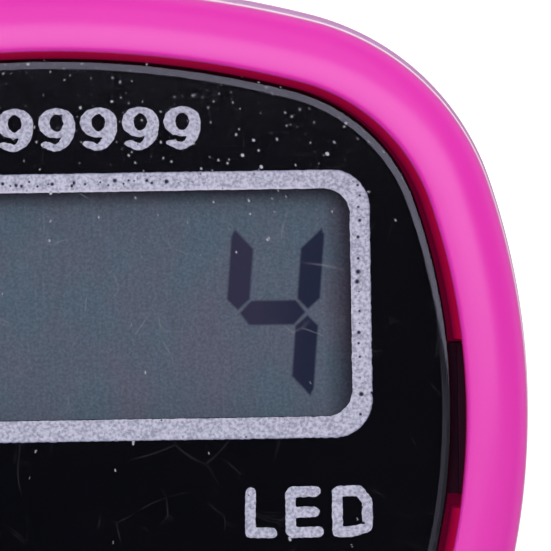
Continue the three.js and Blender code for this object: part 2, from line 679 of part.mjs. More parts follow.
add("front_bezel", "pinkPlastic", bezelRing());
add("rear_shell", "pinkPlastic", rearShell());
add("face_lens", "clearLens", faceLens());
add("face_film", "blackFilm", faceFilm());
add("chassis", "blackPlastic", chassis());
addDisplay();
add("circuit_board", "greenBoard", circuitBoard());
addComponents();
addPower();
add("battery_door", "pinkPlastic", batteryDoor());
add("door_screw", "steel", screw(doorScrew, 0, doorScrewY, seatGap));
bossPlaces.forEach(([x, y], i) => add(`case_screw_${i + 1}`, "steel", screw(caseScrew, x, y, gap)));
add("count_button", "chrome", button(countButton, 0, countButton.y, steps.round));
add("reset_button", "chrome", button(smallButton, -smallButton.x, smallButton.y, steps.smallRound));
add("led_button", "chrome", button(smallButton, smallButton.x, smallButton.y, steps.smallRound));
add("count_dome", "rubber", rubberDome(countButton, 0, countButton.y));
add("reset_dome", "rubber", rubberDome(smallButton, -smallButton.x, smallButton.y));
add("led_dome", "rubber", rubberDome(smallButton, smallButton.x, smallButton.y));
add("band_hole_half", "silicone", holeHalf());
add("band_stud_half", "silicone", studHalf());

export default counter;
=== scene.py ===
# Digital tally counter on a finger band: the looks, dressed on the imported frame. All lengths are metres.
import math
from functools import partial, reduce
import bmesh
import bpy
from mathutils import Matrix, Vector, noise
from mathutils.geometry import interpolate_bezier, intersect_sphere_sphere_2d


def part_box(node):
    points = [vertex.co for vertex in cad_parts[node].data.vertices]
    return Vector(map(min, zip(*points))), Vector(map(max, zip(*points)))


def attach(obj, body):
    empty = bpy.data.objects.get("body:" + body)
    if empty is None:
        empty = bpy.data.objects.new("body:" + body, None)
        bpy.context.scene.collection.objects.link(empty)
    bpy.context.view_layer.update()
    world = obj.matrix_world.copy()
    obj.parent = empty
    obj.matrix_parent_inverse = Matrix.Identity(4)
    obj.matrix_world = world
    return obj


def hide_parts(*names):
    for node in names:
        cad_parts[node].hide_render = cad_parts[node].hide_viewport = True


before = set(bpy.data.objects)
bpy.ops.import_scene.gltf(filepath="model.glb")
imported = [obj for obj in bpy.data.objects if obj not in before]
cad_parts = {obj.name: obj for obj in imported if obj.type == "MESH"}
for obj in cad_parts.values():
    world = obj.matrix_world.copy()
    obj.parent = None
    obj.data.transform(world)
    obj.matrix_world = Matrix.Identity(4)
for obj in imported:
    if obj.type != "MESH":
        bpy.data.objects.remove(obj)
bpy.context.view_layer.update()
mm = 0.001
weld = 0.0005 * mm
noise.seed_set(7)  # the ink's ragged edges come out the same in every run
print("frame loaded:", len(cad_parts), "nodes")

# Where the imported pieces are
bezelLow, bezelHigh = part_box("front_bezel")
backLow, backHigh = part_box("rear_shell")
lensLow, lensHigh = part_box("face_lens")
filmLow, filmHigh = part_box("face_film")
bandLow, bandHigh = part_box("band_hole_half")
doorLow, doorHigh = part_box("battery_door")
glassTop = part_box("lcd_front_polariser")[1].z
backZ = backLow.z
bandY = (bandLow.y + bandHigh.y) / 2


# Sizes that are written in millimetres
def inMetres(sizes):
    return {key: tuple(part * mm for part in value) if isinstance(value, tuple) else value * mm
            for key, value in sizes.items()}


# The outline of the face, measured from its widest line. All its arcs meet smoothly.
outline = inMetres({
    "halfWidth": 14.0,
    "topReach": 12.37,  # from the widest line to the top edge
    "topRadius": 30.4,
    "cornerRadius": 7.3,
    "sideRadius": 20.9,
    "step": 0.22,  # longest flat step on an arc
}) | {"flankLean": math.radians(14)}
widestY = bezelHigh.y - outline["topReach"]
bottomReach = widestY - bezelLow.y


# The right half of the outline from the middle of the top to the middle of the bottom, as turns of
# (centre, angle, radius). A stretch without a radius is a straight run, and its first value is where it goes.
def outlineStretches():
    topRadius, sideRadius, corner, lean = (outline[key] for key in ("topRadius", "sideRadius", "cornerRadius",
                                                                   "flankLean"))
    topCentre = Vector((0, outline["topReach"] - topRadius))
    sideCentre = Vector((outline["halfWidth"] - sideRadius, 0))
    meets = intersect_sphere_sphere_2d(topCentre, topRadius - corner, sideCentre, sideRadius - corner)
    cornerCentre = max(meets, key=lambda point: point.x)
    fromTop, fromSide = cornerCentre - topCentre, cornerCentre - sideCentre
    topEnd, sideStart = math.atan2(fromTop.y, fromTop.x), math.atan2(fromSide.y, fromSide.x)
    outward = Vector((math.cos(lean), -math.sin(lean)))
    flankReach = sideRadius + sideCentre.x * math.cos(lean)
    bottomRadius = (flankReach - bottomReach * math.sin(lean)) / (1 - math.sin(lean))
    bottomCentre = Vector((0, bottomRadius - bottomReach))
    flank = bottomCentre + outward * bottomRadius - sideCentre - outward * sideRadius
    return [
        (topCentre, math.pi / 2 - topEnd, topRadius),
        (cornerCentre, topEnd - sideStart, corner),
        (sideCentre, sideStart + lean, sideRadius),
        (flank, 0, None),
        (bottomCentre, math.pi / 2 - lean, bottomRadius),
    ]


# The parts of one kind among new geometry
def only(kind, parts):
    return [part for part in parts if isinstance(part, kind)]


# Carries a section of (inset, height) points round the outline. A closed section makes a ring.
def sweepOutline(section, closed=False, step=outline["step"]):
    bm = bmesh.new()
    topY = widestY + outline["topReach"]
    dots = [bm.verts.new((0, topY - inset, backZ + height)) for inset, height in section]
    chain = [bm.edges.new(pair) for pair in zip(dots, dots[1:] + dots[:1] if closed else dots[1:])]
    for place, angle, radius in outlineStretches():
        if radius is None:
            grown = bmesh.ops.extrude_edge_only(bm, edges=chain)["geom"]
            moved = only(bmesh.types.BMVert, grown)
            bmesh.ops.translate(bm, verts=moved, vec=place.to_3d())
            chain = [edge for edge in only(bmesh.types.BMEdge, grown)
                     if all(vert in moved for vert in edge.verts)]
        else:
            ends = list(dict.fromkeys(vert for edge in chain for vert in edge.verts))
            grown = bmesh.ops.spin(bm, geom=ends + chain, cent=(place.x, widestY + place.y, 0),
                                   axis=(0, 0, 1), angle=-angle,
                                   steps=math.ceil(angle * radius / step))["geom_last"]
            chain = only(bmesh.types.BMEdge, grown)
    bmesh.ops.mirror(bm, geom=bm.verts[:] + bm.edges[:] + bm.faces[:], merge_dist=weld, axis="X")
    bmesh.ops.remove_doubles(bm, verts=bm.verts, dist=weld)
    return bm


# A skin swept round the outline, its open rims closed with flat faces, and moved aside
def sweptBody(section, shift=(0, 0), **settings):
    bm = sweepOutline(section, **settings)
    bmesh.ops.holes_fill(bm, edges=[edge for edge in bm.edges if edge.is_boundary], sides=0)
    bmesh.ops.translate(bm, verts=bm.verts, vec=(*shift, 0))
    return bm


# Points on a curve from one (inset, height) to another, pulled by two handles
def bend(start, startPull, endPull, end, steps):
    points = interpolate_bezier(Vector(start), Vector(startPull), Vector(endPull), Vector(end), steps + 1)
    return [tuple(point) for point in points]


# Turns a profile of (radius, height) points, which starts and ends on the axis
def turned(profile, place, steps=96):
    bm = bmesh.new()
    dots = [bm.verts.new((place[0] + radius, place[1], height)) for radius, height in profile]
    chain = [bm.edges.new(pair) for pair in zip(dots, dots[1:])]
    bmesh.ops.spin(bm, geom=dots + chain, cent=(place[0], place[1], 0), axis=(0, 0, 1), angle=math.tau,
                   steps=steps, use_merge=True)
    bmesh.ops.remove_doubles(bm, verts=bm.verts, dist=weld)
    return bm


# The profile of a plain pin or hole
def pinProfile(radius, low, high):
    return [(0, low), (radius, low), (radius, high), (0, high)]


# The profile of a sink cut from below, chamfered at its mouth
def sinkProfile(radius, low, depth, over):
    return [(0, low - over), (radius + over / 2, low - over), (radius, low + over / 2), (radius, low + depth),
            (0, low + depth)]


def bevelled(bm, geom, offset, segments=3, affect="EDGES"):
    bmesh.ops.bevel(bm, geom=geom, offset=offset, affect=affect, segments=segments, profile=0.5, material=-1)


# A box between two corners, with its edges rounded if a rounding is given
def roundedBox(low, high, rounding=0):
    bm = bmesh.new()
    low, high = Vector(low), Vector(high)
    bmesh.ops.create_cube(bm, size=1, matrix=Matrix.Translation((low + high) / 2) @ Matrix.Diagonal(
        (high - low).to_4d()))
    if rounding:
        bevelled(bm, bm.edges[:], rounding)
    return bm


# A box that reaches as far to both sides of a place, from one height to another
def boxAround(x, y, wide, deep, low, high, rounding):
    return roundedBox((x - wide, y - deep, low), (x + wide, y + deep, high), rounding)


# A flat plate with two round ends along Y. Where a rounding is given, it rounds the rims.
def stadium(radius, low, high, bottom, top, rounding=0):
    bm = bmesh.new()
    bmesh.ops.create_circle(bm, cap_ends=True, radius=radius, segments=128)
    centre, spread = (low + high) / 2, (high - low) / 2 - radius
    halves = {1: [v for v in bm.verts if v.co.y > 0], -1: [v for v in bm.verts if v.co.y <= 0]}
    for side, verts in halves.items():
        bmesh.ops.translate(bm, verts=verts, vec=(0, centre + side * spread, bottom))
    thicken(bm, top - bottom)
    if rounding:
        bevelled(bm, [edge for edge in bm.edges if edge.calc_face_angle(0) > math.radians(60)], rounding)
    return bm


# Raises flat faces into a plate
def thicken(bm, height):
    raised = bmesh.ops.extrude_face_region(bm, geom=bm.faces[:])["geom"]
    bmesh.ops.translate(bm, verts=only(bmesh.types.BMVert, raised), vec=(0, 0, height))
    bmesh.ops.recalc_face_normals(bm, faces=bm.faces)


# Adds another shape to a mesh
def joined(target, shape):
    part = bpy.data.meshes.new("part")
    shape.to_mesh(part)
    shape.free()
    target.from_mesh(part)
    bpy.data.meshes.remove(part)
    return target


# A new object from a mesh in the making
def shaped(name, bm):
    bmesh.ops.recalc_face_normals(bm, faces=bm.faces)
    mesh = bpy.data.meshes.new(name)
    bm.to_mesh(mesh)
    bm.free()
    piece = bpy.data.objects.new(name, mesh)
    bpy.context.scene.collection.objects.link(piece)
    return piece


# Applies every modifier of a piece to its mesh
def applied(piece):
    seen = piece.evaluated_get(bpy.context.evaluated_depsgraph_get())
    mesh = bpy.data.meshes.new_from_object(seen)
    piece.modifiers.clear()
    piece.data = mesh
    mesh.name = piece.name
    return piece


# Adds a modifier with its settings
def modified(piece, name, kind, **settings):
    modifier = piece.modifiers.new(name, kind)
    for key, value in settings.items():
        setattr(modifier, key, value)


# Cuts tools out of a piece, or adds them to it
def carved(piece, tools, operation="DIFFERENCE"):
    for bm in tools:
        tool = shaped("tool", bm)
        modified(piece, "cut", "BOOLEAN", object=tool, operation=operation, solver="EXACT")
        applied(piece)
        bpy.data.objects.remove(tool)
    return piece


# Gives a piece its finish, smooth shading and the body that it moves with
def dressed(piece, finish, body="housing", stands=(), sharp=32):
    mesh = piece.data
    mesh.materials.clear()
    mesh.materials.append(made[finish])
    mesh.polygons.foreach_set("use_smooth", [True] * len(mesh.polygons))
    mesh.set_sharp_from_angle(angle=math.radians(sharp))
    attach(piece, body)
    if stands:
        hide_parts(*stands)
    print("made", piece.name)
    return piece


# Shader nodes go into the tree that was opened last
def opened(tree):
    global wiring
    wiring = tree
    return tree


# Links a socket to an input, or gives the input a fixed value
def feed(value, socket):
    if isinstance(value, bpy.types.NodeSocket):
        wiring.links.new(value, socket)
    else:
        socket.default_value = (*value, 1) if socket.type == "RGBA" else value


def addNode(kind, inputs=None, **settings):
    node = wiring.nodes.new("ShaderNode" + kind)
    for name, value in settings.items():
        setattr(node, name, value)
    for name, value in (inputs or {}).items():
        feed(value, node.inputs[name])
    return node.outputs


def calculated(operation, first, second=0.0):
    return addNode("Math", {0: first, 1: second}, operation=operation)[0]


times, plus, minus, divided, larger, smaller, below, above, power, unsigned = (
    partial(calculated, operation) for operation in (
        "MULTIPLY", "ADD", "SUBTRACT", "DIVIDE", "MAXIMUM", "MINIMUM", "LESS_THAN", "GREATER_THAN", "POWER",
        "ABSOLUTE"))


# Takes a value from one range to another
def ranged(value, low, high, fromLow=0.0, fromHigh=1.0):
    return addNode("MapRange", {"Value": value, "From Min": fromLow, "From Max": fromHigh, "To Min": low,
                                "To Max": high})[0]


# Spreads a value between two limits to 0..1
def stretched(value, low, high):
    return ranged(value, 0.0, 1.0, low, high)


def blended(share, first, second, blendType="MIX"):
    return addNode("Mix", {0: share, 6: first, 7: second}, data_type="RGBA", blend_type=blendType)[2]


def objectPlace(turn=(0, 0, 0), scale=(1, 1, 1)):
    return addNode("Mapping", {"Vector": addNode("TexCoord")["Object"], "Rotation": turn, "Scale": scale})[0]


# The x, y and z of the surface
def surfacePlace():
    return addNode("SeparateXYZ", {0: addNode("TexCoord")["Object"]})


# Moves a place along X and Y
def movedPlace(place, shift):
    both = addNode("CombineXYZ", {"X": shift, "Y": shift, "Z": 0.0})[0]
    return addNode("VectorMath", {0: place, 1: both}, operation="ADD")[0]


# Bends the lines of a pattern with a noise
def swayedPlace(place, scale, detail, reach):
    sway = addNode("TexNoise", {"Vector": place, "Scale": scale, "Detail": detail})["Color"]
    sway = addNode("VectorMath", {0: sway, 1: reach}, operation="MULTIPLY")[0]
    return addNode("VectorMath", {0: place, 1: sway}, operation="ADD")[0]


def cloud(scale, detail=2, place=None):
    if place is None:
        place = objectPlace()
    return addNode("TexNoise", {"Vector": place, "Scale": scale, "Detail": detail})[0]


def newGroup(name, inputs, outputs):
    tree = opened(bpy.data.node_groups.new(name, "ShaderNodeTree"))
    for label, value in inputs.items():
        tree.interface.new_socket(label, in_out="INPUT", socket_type="NodeSocketFloat").default_value = value
    for label in outputs:
        tree.interface.new_socket(label, in_out="OUTPUT", socket_type="NodeSocketFloat")
    return tree, tree.nodes.new("NodeGroupInput").outputs, tree.nodes.new("NodeGroupOutput").inputs


# Fine unevenness of a moulded or cast surface: a height and a slow change of tone
def makeGrainGroup(fineShare=0.35):
    tree, given, result = newGroup("surfaceGrain", {"Fine": 9000, "Coarse": 700}, ["Height", "Tone"])
    place = objectPlace()
    fine, coarse = cloud(given["Fine"], 2, place), cloud(given["Coarse"], 3, place)
    feed(plus(times(fine, fineShare), coarse), result["Height"])
    feed(stretched(coarse, 0.2, 0.8), result["Tone"])
    return tree


# 1 inside round specks, in the chosen ones of a pattern's cells, each of its own size
def speckMask(picks, distance, given, least, core):
    reach = times(given["Size"], plus(picks[1], least))
    return times(below(picks[0], given["Share"]), stretched(divided(distance, reach), 1.0, core))


specks = {"turn": 0.6, "wobble": 6000, "bend": 0.07 * mm, "least": 0.35, "core": 0.45}


def makeSpeckGroup(name, dimensions, values):
    tree, given, result = newGroup(name, {"Scale": 1500, "Share": 0.1, "Size": 0.2, "Shift": 0}, ["Mask"])
    place = movedPlace(objectPlace(turn=(0, 0, values["turn"])), given["Shift"])
    place = swayedPlace(place, values["wobble"], 2, (values["bend"],) * 3)
    cells = addNode("TexVoronoi", {"Vector": place, "Scale": given["Scale"]}, voronoi_dimensions=dimensions)
    picks = addNode("SeparateColor", {"Color": cells["Color"]})
    feed(speckMask(picks, cells["Distance"], given, values["least"], values["core"]), result["Mask"])
    return tree


# Round holes strung along a line, each a little off it
def makeRowGroup(least=0.3, core=0.4):
    tree, given, result = newGroup("holeRow", {"Along": 0, "Across": 0, "Scale": 4600, "Share": 0.8,
                                               "Size": 0.3, "Jitter": 0.5}, ["Mask"])
    cells = addNode("TexVoronoi", {"W": given["Along"], "Scale": given["Scale"]}, voronoi_dimensions="1D")
    picks = addNode("SeparateColor", {"Color": cells["Color"]})
    off = times(minus(picks[2], 0.5), given["Jitter"])
    across = plus(times(given["Across"], given["Scale"]), off)
    squares = plus(power(cells["Distance"], 2), times(across, across))
    feed(speckMask(picks, power(squares, 0.5), given, least, core), result["Mask"])
    return tree


# Thin bent lines, broken into short lengths
hairlines = {"flatten": 0.05, "sway": 300, "swayReach": (1.6 * mm, 1.6 * mm, 0), "breaks": 900,
             "breakFrom": 0.75, "breakTo": 0.8}


def makeScratchGroup(values):
    tree, given, result = newGroup("hairlines", {"Scale": 350, "Width": 0.012, "Share": 0.4, "Shift": 0},
                                   ["Mask"])
    place = movedPlace(objectPlace(scale=(1, 1, values["flatten"])), given["Shift"])
    place = swayedPlace(place, values["sway"], 1, values["swayReach"])
    cells = addNode("TexVoronoi", {"Vector": place, "Scale": given["Scale"]}, feature="DISTANCE_TO_EDGE")
    breakFrom = minus(values["breakFrom"], times(given["Share"], 0.5))
    lengths = stretched(cloud(values["breaks"], 1, place), breakFrom, values["breakTo"])
    feed(times(below(cells["Distance"], given["Width"]), lengths), result["Mask"])
    return tree


# Edges that stand out, rubbed lighter
def makeWearGroup():
    tree, given, result = newGroup("rubbedEdges", {"Low": 0.52, "High": 0.6}, ["Mask"])
    raised = stretched(addNode("NewGeometry")["Pointiness"], given["Low"], given["High"])
    feed(times(raised, stretched(cloud(1200, 4), 0.3, 0.6)), result["Mask"])
    return tree


grainGroup = makeGrainGroup()
speckGroup = makeSpeckGroup("specks", "3D", specks)
flatSpeckGroup = makeSpeckGroup("flatSpecks", "2D", specks)  # for sheets that lie level
rowGroup = makeRowGroup()
scratchGroup = makeScratchGroup(hairlines)
wearGroup = makeWearGroup()


def useGroup(group, **values):
    node = wiring.nodes.new("ShaderNodeGroup")
    node.node_tree = group
    for name, value in values.items():
        feed(value, node.inputs[name.capitalize()])
    return node.outputs


def newFinish(name, shine=0.5):
    finish = bpy.data.materials.new(name)
    finish.use_nodes = True
    shader = opened(finish.node_tree).nodes["Principled BSDF"].inputs
    shader["Specular IOR Level"].default_value = shine
    return finish, shader


def addBump(height, strength, distance, shader):
    feed(addNode("Bump", {"Height": height, "Strength": strength, "Distance": distance})[0], shader["Normal"])


# The pink: painted shade makes it deeper where the surface slopes away, and a painted reflection makes a pale
# grey-lilac line along the joint of the two halves
rimLook = {
    # painted shade: the deeper pink that sloping faces get
    "deep": (0.56, 0.018, 0.27),
    "deepFrom": 0.3,  # 0 is a level surface, and 1 an upright one
    "deepTo": 0.55,
    # painted reflection: the pale grey-lilac line along the joint
    "jointReflection": (0.36, 0.3, 0.41),
    "jointHeight": 6.2 * mm,  # above the back
    "jointWidth": (0.12 * mm, 0.04 * mm),
    "jointShare": 0.8,
    "gloss": 0.42,
    "glossFrom": 0.55,
    "glossTo": 0.9,
    "glossRough": 0.06,
}


def rimTone(tone, values):
    # Painted shade: the pink turns deeper as the object-space normal turns from upright
    slope = minus(1.0, unsigned(addNode("SeparateXYZ", {0: addNode("TexCoord")["Normal"]})[2]))
    tone = blended(stretched(slope, values["deepFrom"], values["deepTo"]), tone, values["deep"])
    # Painted reflection: a pale grey-lilac line at the joint's height
    fromJoint = unsigned(minus(surfacePlace()[2], backZ + values["jointHeight"]))
    jointReflection = times(stretched(fromJoint, *values["jointWidth"]), values["jointShare"])
    return blended(jointReflection, tone, values["jointReflection"])


# The polished skin mirrors the bright table where it is seen nearly along its face
def addRimGloss(shader, values):
    facing = addNode("LayerWeight", {"Blend": 0.5})["Facing"]
    share = stretched(facing, values["glossFrom"], values["glossTo"])
    feed(times(share, values["gloss"]), shader["Coat Weight"])
    shader["Coat Roughness"].default_value = values["glossRough"]


# A finish with two close tones and a grain, and where they are asked for, specks of dust and rubbed edges, and
# for the pink its painted shade on slopes, a painted reflection along the joint and a gloss where it is seen
# edge-on
def plainFinish(name, values):
    finish, shader = newFinish(name, values.get("shine", 0.5))
    grain = useGroup(grainGroup, fine=values.get("fine", 9000), coarse=values.get("coarse", 700))
    tone = blended(grain["Tone"], *values["tones"])
    for key, group in (("wear", wearGroup), ("dust", speckGroup)):
        if key in values:
            mask, colour = values[key]
            tone = blended(useGroup(group, **mask)["Mask"], tone, colour)
    # The pink's painted shade and painted reflection come from rimTone
    if values.get("rim"):
        tone = rimTone(tone, rimLook)
        addRimGloss(shader, rimLook)
    feed(tone, shader["Base Color"])
    rough = values["rough"]
    feed(ranged(grain["Tone"], rough, rough + values.get("roughSpread", 0.06)), shader["Roughness"])
    shader["Metallic"].default_value = values.get("metal", 0)
    if "depth" in values:
        addBump(grain["Height"], 1.0, values["depth"] * mm, shader)
    return finish


finishes = {
    "pinkPlastic": {"tones": ((0.725, 0.0245, 0.378), (0.71, 0.0235, 0.37)), "rough": 0.28,
                    "roughSpread": 0.02, "coarse": 400, "rim": True},
    # Black plastic, with a reddish tint that is painted light: pink light bounced from the walls round it
    "chassisBlackPaintedPinkBounce": {"tones": ((0.016, 0.0032, 0.009), (0.03, 0.004, 0.015)), "rough": 0.6, "shine": 0.06,
                       "depth": 0.004, "coarse": 1400},
    "silicone": {"tones": ((0.66, 0.03, 0.31), (0.6, 0.026, 0.28)), "rough": 0.5, "depth": 0.006,
                 "fine": 6000, "dust": ({"scale": 2200, "share": 0.12, "size": 0.12}, (0.7, 0.68, 0.7))},
    "chrome": {"tones": ((0.8, 0.81, 0.84), (0.72, 0.73, 0.76)), "rough": 0.08, "roughSpread": 0.1,
               "metal": 1, "coarse": 900},
    "steel": {"tones": ((0.62, 0.63, 0.66), (0.5, 0.51, 0.54)), "rough": 0.26, "metal": 1, "depth": 0.002,
              "wear": ({"low": 0.53, "high": 0.6}, (0.8, 0.8, 0.82))},
    "brassPlate": {"tones": ((0.68, 0.46, 0.16), (0.58, 0.38, 0.12)), "rough": 0.3, "metal": 1,
                   "depth": 0.002},
    "foil": {"tones": ((0.55, 0.57, 0.6), (0.48, 0.5, 0.53)), "rough": 0.35, "metal": 1, "depth": 0.004},
    "displayGlass": {"tones": ((0.5, 0.56, 0.58), (0.44, 0.5, 0.53)), "rough": 0.06},
    "lightGuide": {"tones": ((0.72, 0.78, 0.8), (0.64, 0.7, 0.73)), "rough": 0.3, "depth": 0.003},
    "zebraRubber": {"tones": ((0.05, 0.035, 0.045), (0.18, 0.1, 0.13)), "rough": 0.75, "fine": 3000,
                    "depth": 0.01},
    "greenBoard": {"tones": ((0.012, 0.13, 0.04), (0.02, 0.19, 0.06)), "rough": 0.4, "depth": 0.004},
    "chipResin": {"tones": ((0.006, 0.006, 0.006), (0.016, 0.015, 0.014)), "rough": 0.18, "depth": 0.01,
                  "coarse": 1500},
    "ceramic": {"tones": ((0.36, 0.24, 0.13), (0.3, 0.19, 0.1)), "rough": 0.55, "depth": 0.004},
    "resistorBody": {"tones": ((0.012, 0.012, 0.014), (0.03, 0.03, 0.034)), "rough": 0.5, "depth": 0.004},
    "lampBody": {"tones": ((0.85, 0.82, 0.6), (0.8, 0.74, 0.42)), "rough": 0.25, "depth": 0.004},
    "domeRubber": {"tones": ((0.62, 0.58, 0.52), (0.56, 0.52, 0.46)), "rough": 0.65, "depth": 0.006},
    "blackFilm": {"tones": ((0.0016, 0.0019, 0.003), (0.0024, 0.0026, 0.0038)), "rough": 0.5,
                  "roughSpread": 0.15, "shine": 0.0, "fine": 7000, "coarse": 500},
}
made = {name: plainFinish(name, values) for name, values in finishes.items()}

# The window in the black film, its middle measured from the widest line
window = inMetres({"width": 17.76, "height": 6.62, "y": 3.1, "corner": 0.58})
windowMiddle, windowTop = widestY + window["y"], widestY + window["y"] + window["height"] / 2


# 1 over the window and 0 over the black film
def windowMask():
    x, y = surfacePlace()[:2]
    withinX = below(unsigned(x), window["width"] / 2)
    return times(withinX, below(unsigned(minus(y, windowMiddle)), window["height"] / 2))


# Clear panel: lets everything through but its gloss, its dust and its hairlines
lensLook = {
    "ior": 1.49,
    "rough": 0.072,
    "shine": (0.8, 0.78, 0.92),
    "dust": {"scale": 1500, "size": 0.068},
    "dustShare": (0.02, 0.2),  # low down, and at the top
    "fineDust": {"scale": 3600, "size": 0.13, "shift": 0.01},
    "fineShare": (0.01, 0.4),
    "fineStrength": 0.55,
    "dustFrom": 4.5 * mm,
    "dustTo": 9.5 * mm,
    "dustColour": (0.38, 0.38, 0.4),
    # two kinds of hairline, each with its strength over the black and over the window
    "lines": [({"scale": 420, "width": 0.008, "share": 0.4, "shift": 0.0}, (0.025, 0.13)),
              ({"scale": 760, "width": 0.012, "share": 0.38, "shift": 0.013}, (0.03, 0.15))],
}


def makeLensFinish(values):
    finish = newFinish("clearLens")[0]
    nodes = finish.node_tree.nodes
    clear = addNode("BsdfTransparent")[0]
    outside = minus(1.0, addNode("NewGeometry")["Backfacing"])
    gloss = times(addNode("Fresnel", {"IOR": values["ior"]})[0], outside)
    shine = addNode("BsdfAnisotropic", {"Color": values["shine"], "Roughness": values["rough"]})[0]
    panel = addNode("MixShader", {0: gloss, 1: clear, 2: shine})[0]
    up = surfacePlace()[1]
    dustShare, fineShare = (ranged(up, *shares, widestY + values["dustFrom"], widestY + values["dustTo"])
                            for shares in (values["dustShare"], values["fineShare"]))
    fine = useGroup(flatSpeckGroup, share=fineShare, **values["fineDust"])["Mask"]
    dirt = [useGroup(flatSpeckGroup, share=dustShare, **values["dust"])["Mask"],
            times(fine, values["fineStrength"])]
    overWindow = windowMask()
    for lines, strength in values["lines"]:
        dirt.append(times(useGroup(scratchGroup, **lines)["Mask"], ranged(overWindow, *strength)))
    nodes.remove(nodes["Principled BSDF"])
    dust = addNode("BsdfDiffuse", {"Color": values["dustColour"]})[0]
    surface = addNode("MixShader", {0: reduce(larger, dirt), 1: panel, 2: dust})[0]
    feed(surface, nodes["Material Output"].inputs["Surface"])
    return finish


# Silver ink: pale lilac grey with a fine grain and pinholes
inkLook = {
    "light": (0.55, 0.56, 0.625),
    "dark": (0.285, 0.295, 0.355),
    "grainScale": 11000,
    "shine": 0.15,
    "depth": 0.004 * mm,
    "pinhole": (0.012, 0.013, 0.03),
    "pinholes": {"scale": 3000, "share": 0.03, "size": 0.16, "shift": 0.02},
    # rows of holes in the top and the right bar: the line that each lies on, and its holes
    "rows": [(6.67 * mm, {"scale": 4600, "size": 0.36, "jitter": 0.7, "share": 0.8}),
             (9.13 * mm, {"scale": 3300, "size": 0.27, "jitter": 0.45, "share": 0.6})],
    "topRowEnd": 4.2 * mm,  # the holes of the top bar thin out there, over twice the fade
    "fade": 0.6 * mm,
    "rim": (0.62, 0.59, 0.66),  # the ink is thicker along the window's top edge
    "rimWidth": 0.1 * mm,
    "rimEnd": 0.9 * mm,  # before the window's side
    "rimShare": 0.6,
    "soft": 0.05 * mm,  # the ink thins out this far inside its outer edge
    "thin": (0.13, 0.14, 0.24),
    "thinShare": 0.75,
}
inkFrame = inMetres({"width": 0.595, "shift": -0.04, "corner": 1.12, "innerCorner": 0.76, "ragged": 0.022,
                     "step": 0.04, "wave": 0.1, "lap": 0.01, "beyond": 0.08})


def makeInkFinish(values):
    finish, shader = newFinish("silverInk", values["shine"])
    grain = cloud(values["grainScale"], 3)
    tone = blended(stretched(grain, 0.36, 0.62), values["dark"], values["light"])
    x, y = surfacePlace()[:2]
    rimWidth, rimEnd = values["rimWidth"], window["width"] / 2 - values["rimEnd"]
    rim = stretched(y, windowTop + rimWidth, windowTop + 0.4 * rimWidth)
    rim = times(rim, above(y, windowTop - rimWidth))
    rim = times(rim, stretched(x, rimEnd, rimEnd - values["fade"]))
    tone = blended(times(rim, values["rimShare"]), tone, values["rim"])
    (topLine, topHoles), (sideLine, sideHoles) = values["rows"]
    topRow = useGroup(rowGroup, along=x, across=minus(y, widestY + topLine), **topHoles)["Mask"]
    rowEnd, fade = values["topRowEnd"], values["fade"]
    topRow = times(topRow, stretched(x, rowEnd + fade, rowEnd - fade))
    sideRow = useGroup(rowGroup, along=y, across=minus(x, sideLine), **sideHoles)["Mask"]
    holes = larger(larger(useGroup(flatSpeckGroup, **values["pinholes"])["Mask"], topRow), sideRow)
    reach = inkFrame["width"] - inkFrame["corner"]
    beyond = [minus(unsigned(x), window["width"] / 2 + reach),
              minus(unsigned(minus(y, windowMiddle + inkFrame["shift"])), window["height"] / 2 + reach)]
    outwards = power(plus(*(power(larger(side, 0.0), 2.0) for side in beyond)), 0.5)
    fromRim = minus(plus(outwards, smaller(larger(*beyond), 0.0)), inkFrame["corner"])
    thinning = times(stretched(fromRim, -values["soft"], 0.0), below(fromRim, inkFrame["beyond"]))
    tone = blended(times(thinning, values["thinShare"]), tone, values["thin"])
    feed(blended(holes, tone, values["pinhole"]), shader["Base Color"])
    feed(ranged(grain, 0.45, 0.7), shader["Roughness"])
    addBump(grain, 0.6, values["depth"], shader)
    return finish


# Display: grey sheet with slow patches of teal and mauve, and a painted shadow along its top and right edges
displayLook = {
    "teal": (0.072, 0.1085, 0.134),
    "mauve": (0.09, 0.1, 0.128),
    "patch": 700,
    "streaks": (9000, 0.06),  # scale and strength
    "grain": (12000, 0.2),
    "shine": 0.1,
    "shade": (0.54, 0.41, 0.49),  # the tint of the painted shadow near the top and right edges
    "topShade": 0.45 * mm,
    "topShare": 0.6,
    "sideShade": 0.75 * mm,
}
# Dark parts of the display that are switched on. Their tone changes from left to right.
segmentLook = {"left": (0.02, 0.02, 0.045), "right": (0.006, 0.01, 0.031), "from": 6.2 * mm, "to": 7.6 * mm,
               "edge": "edgeShare"}


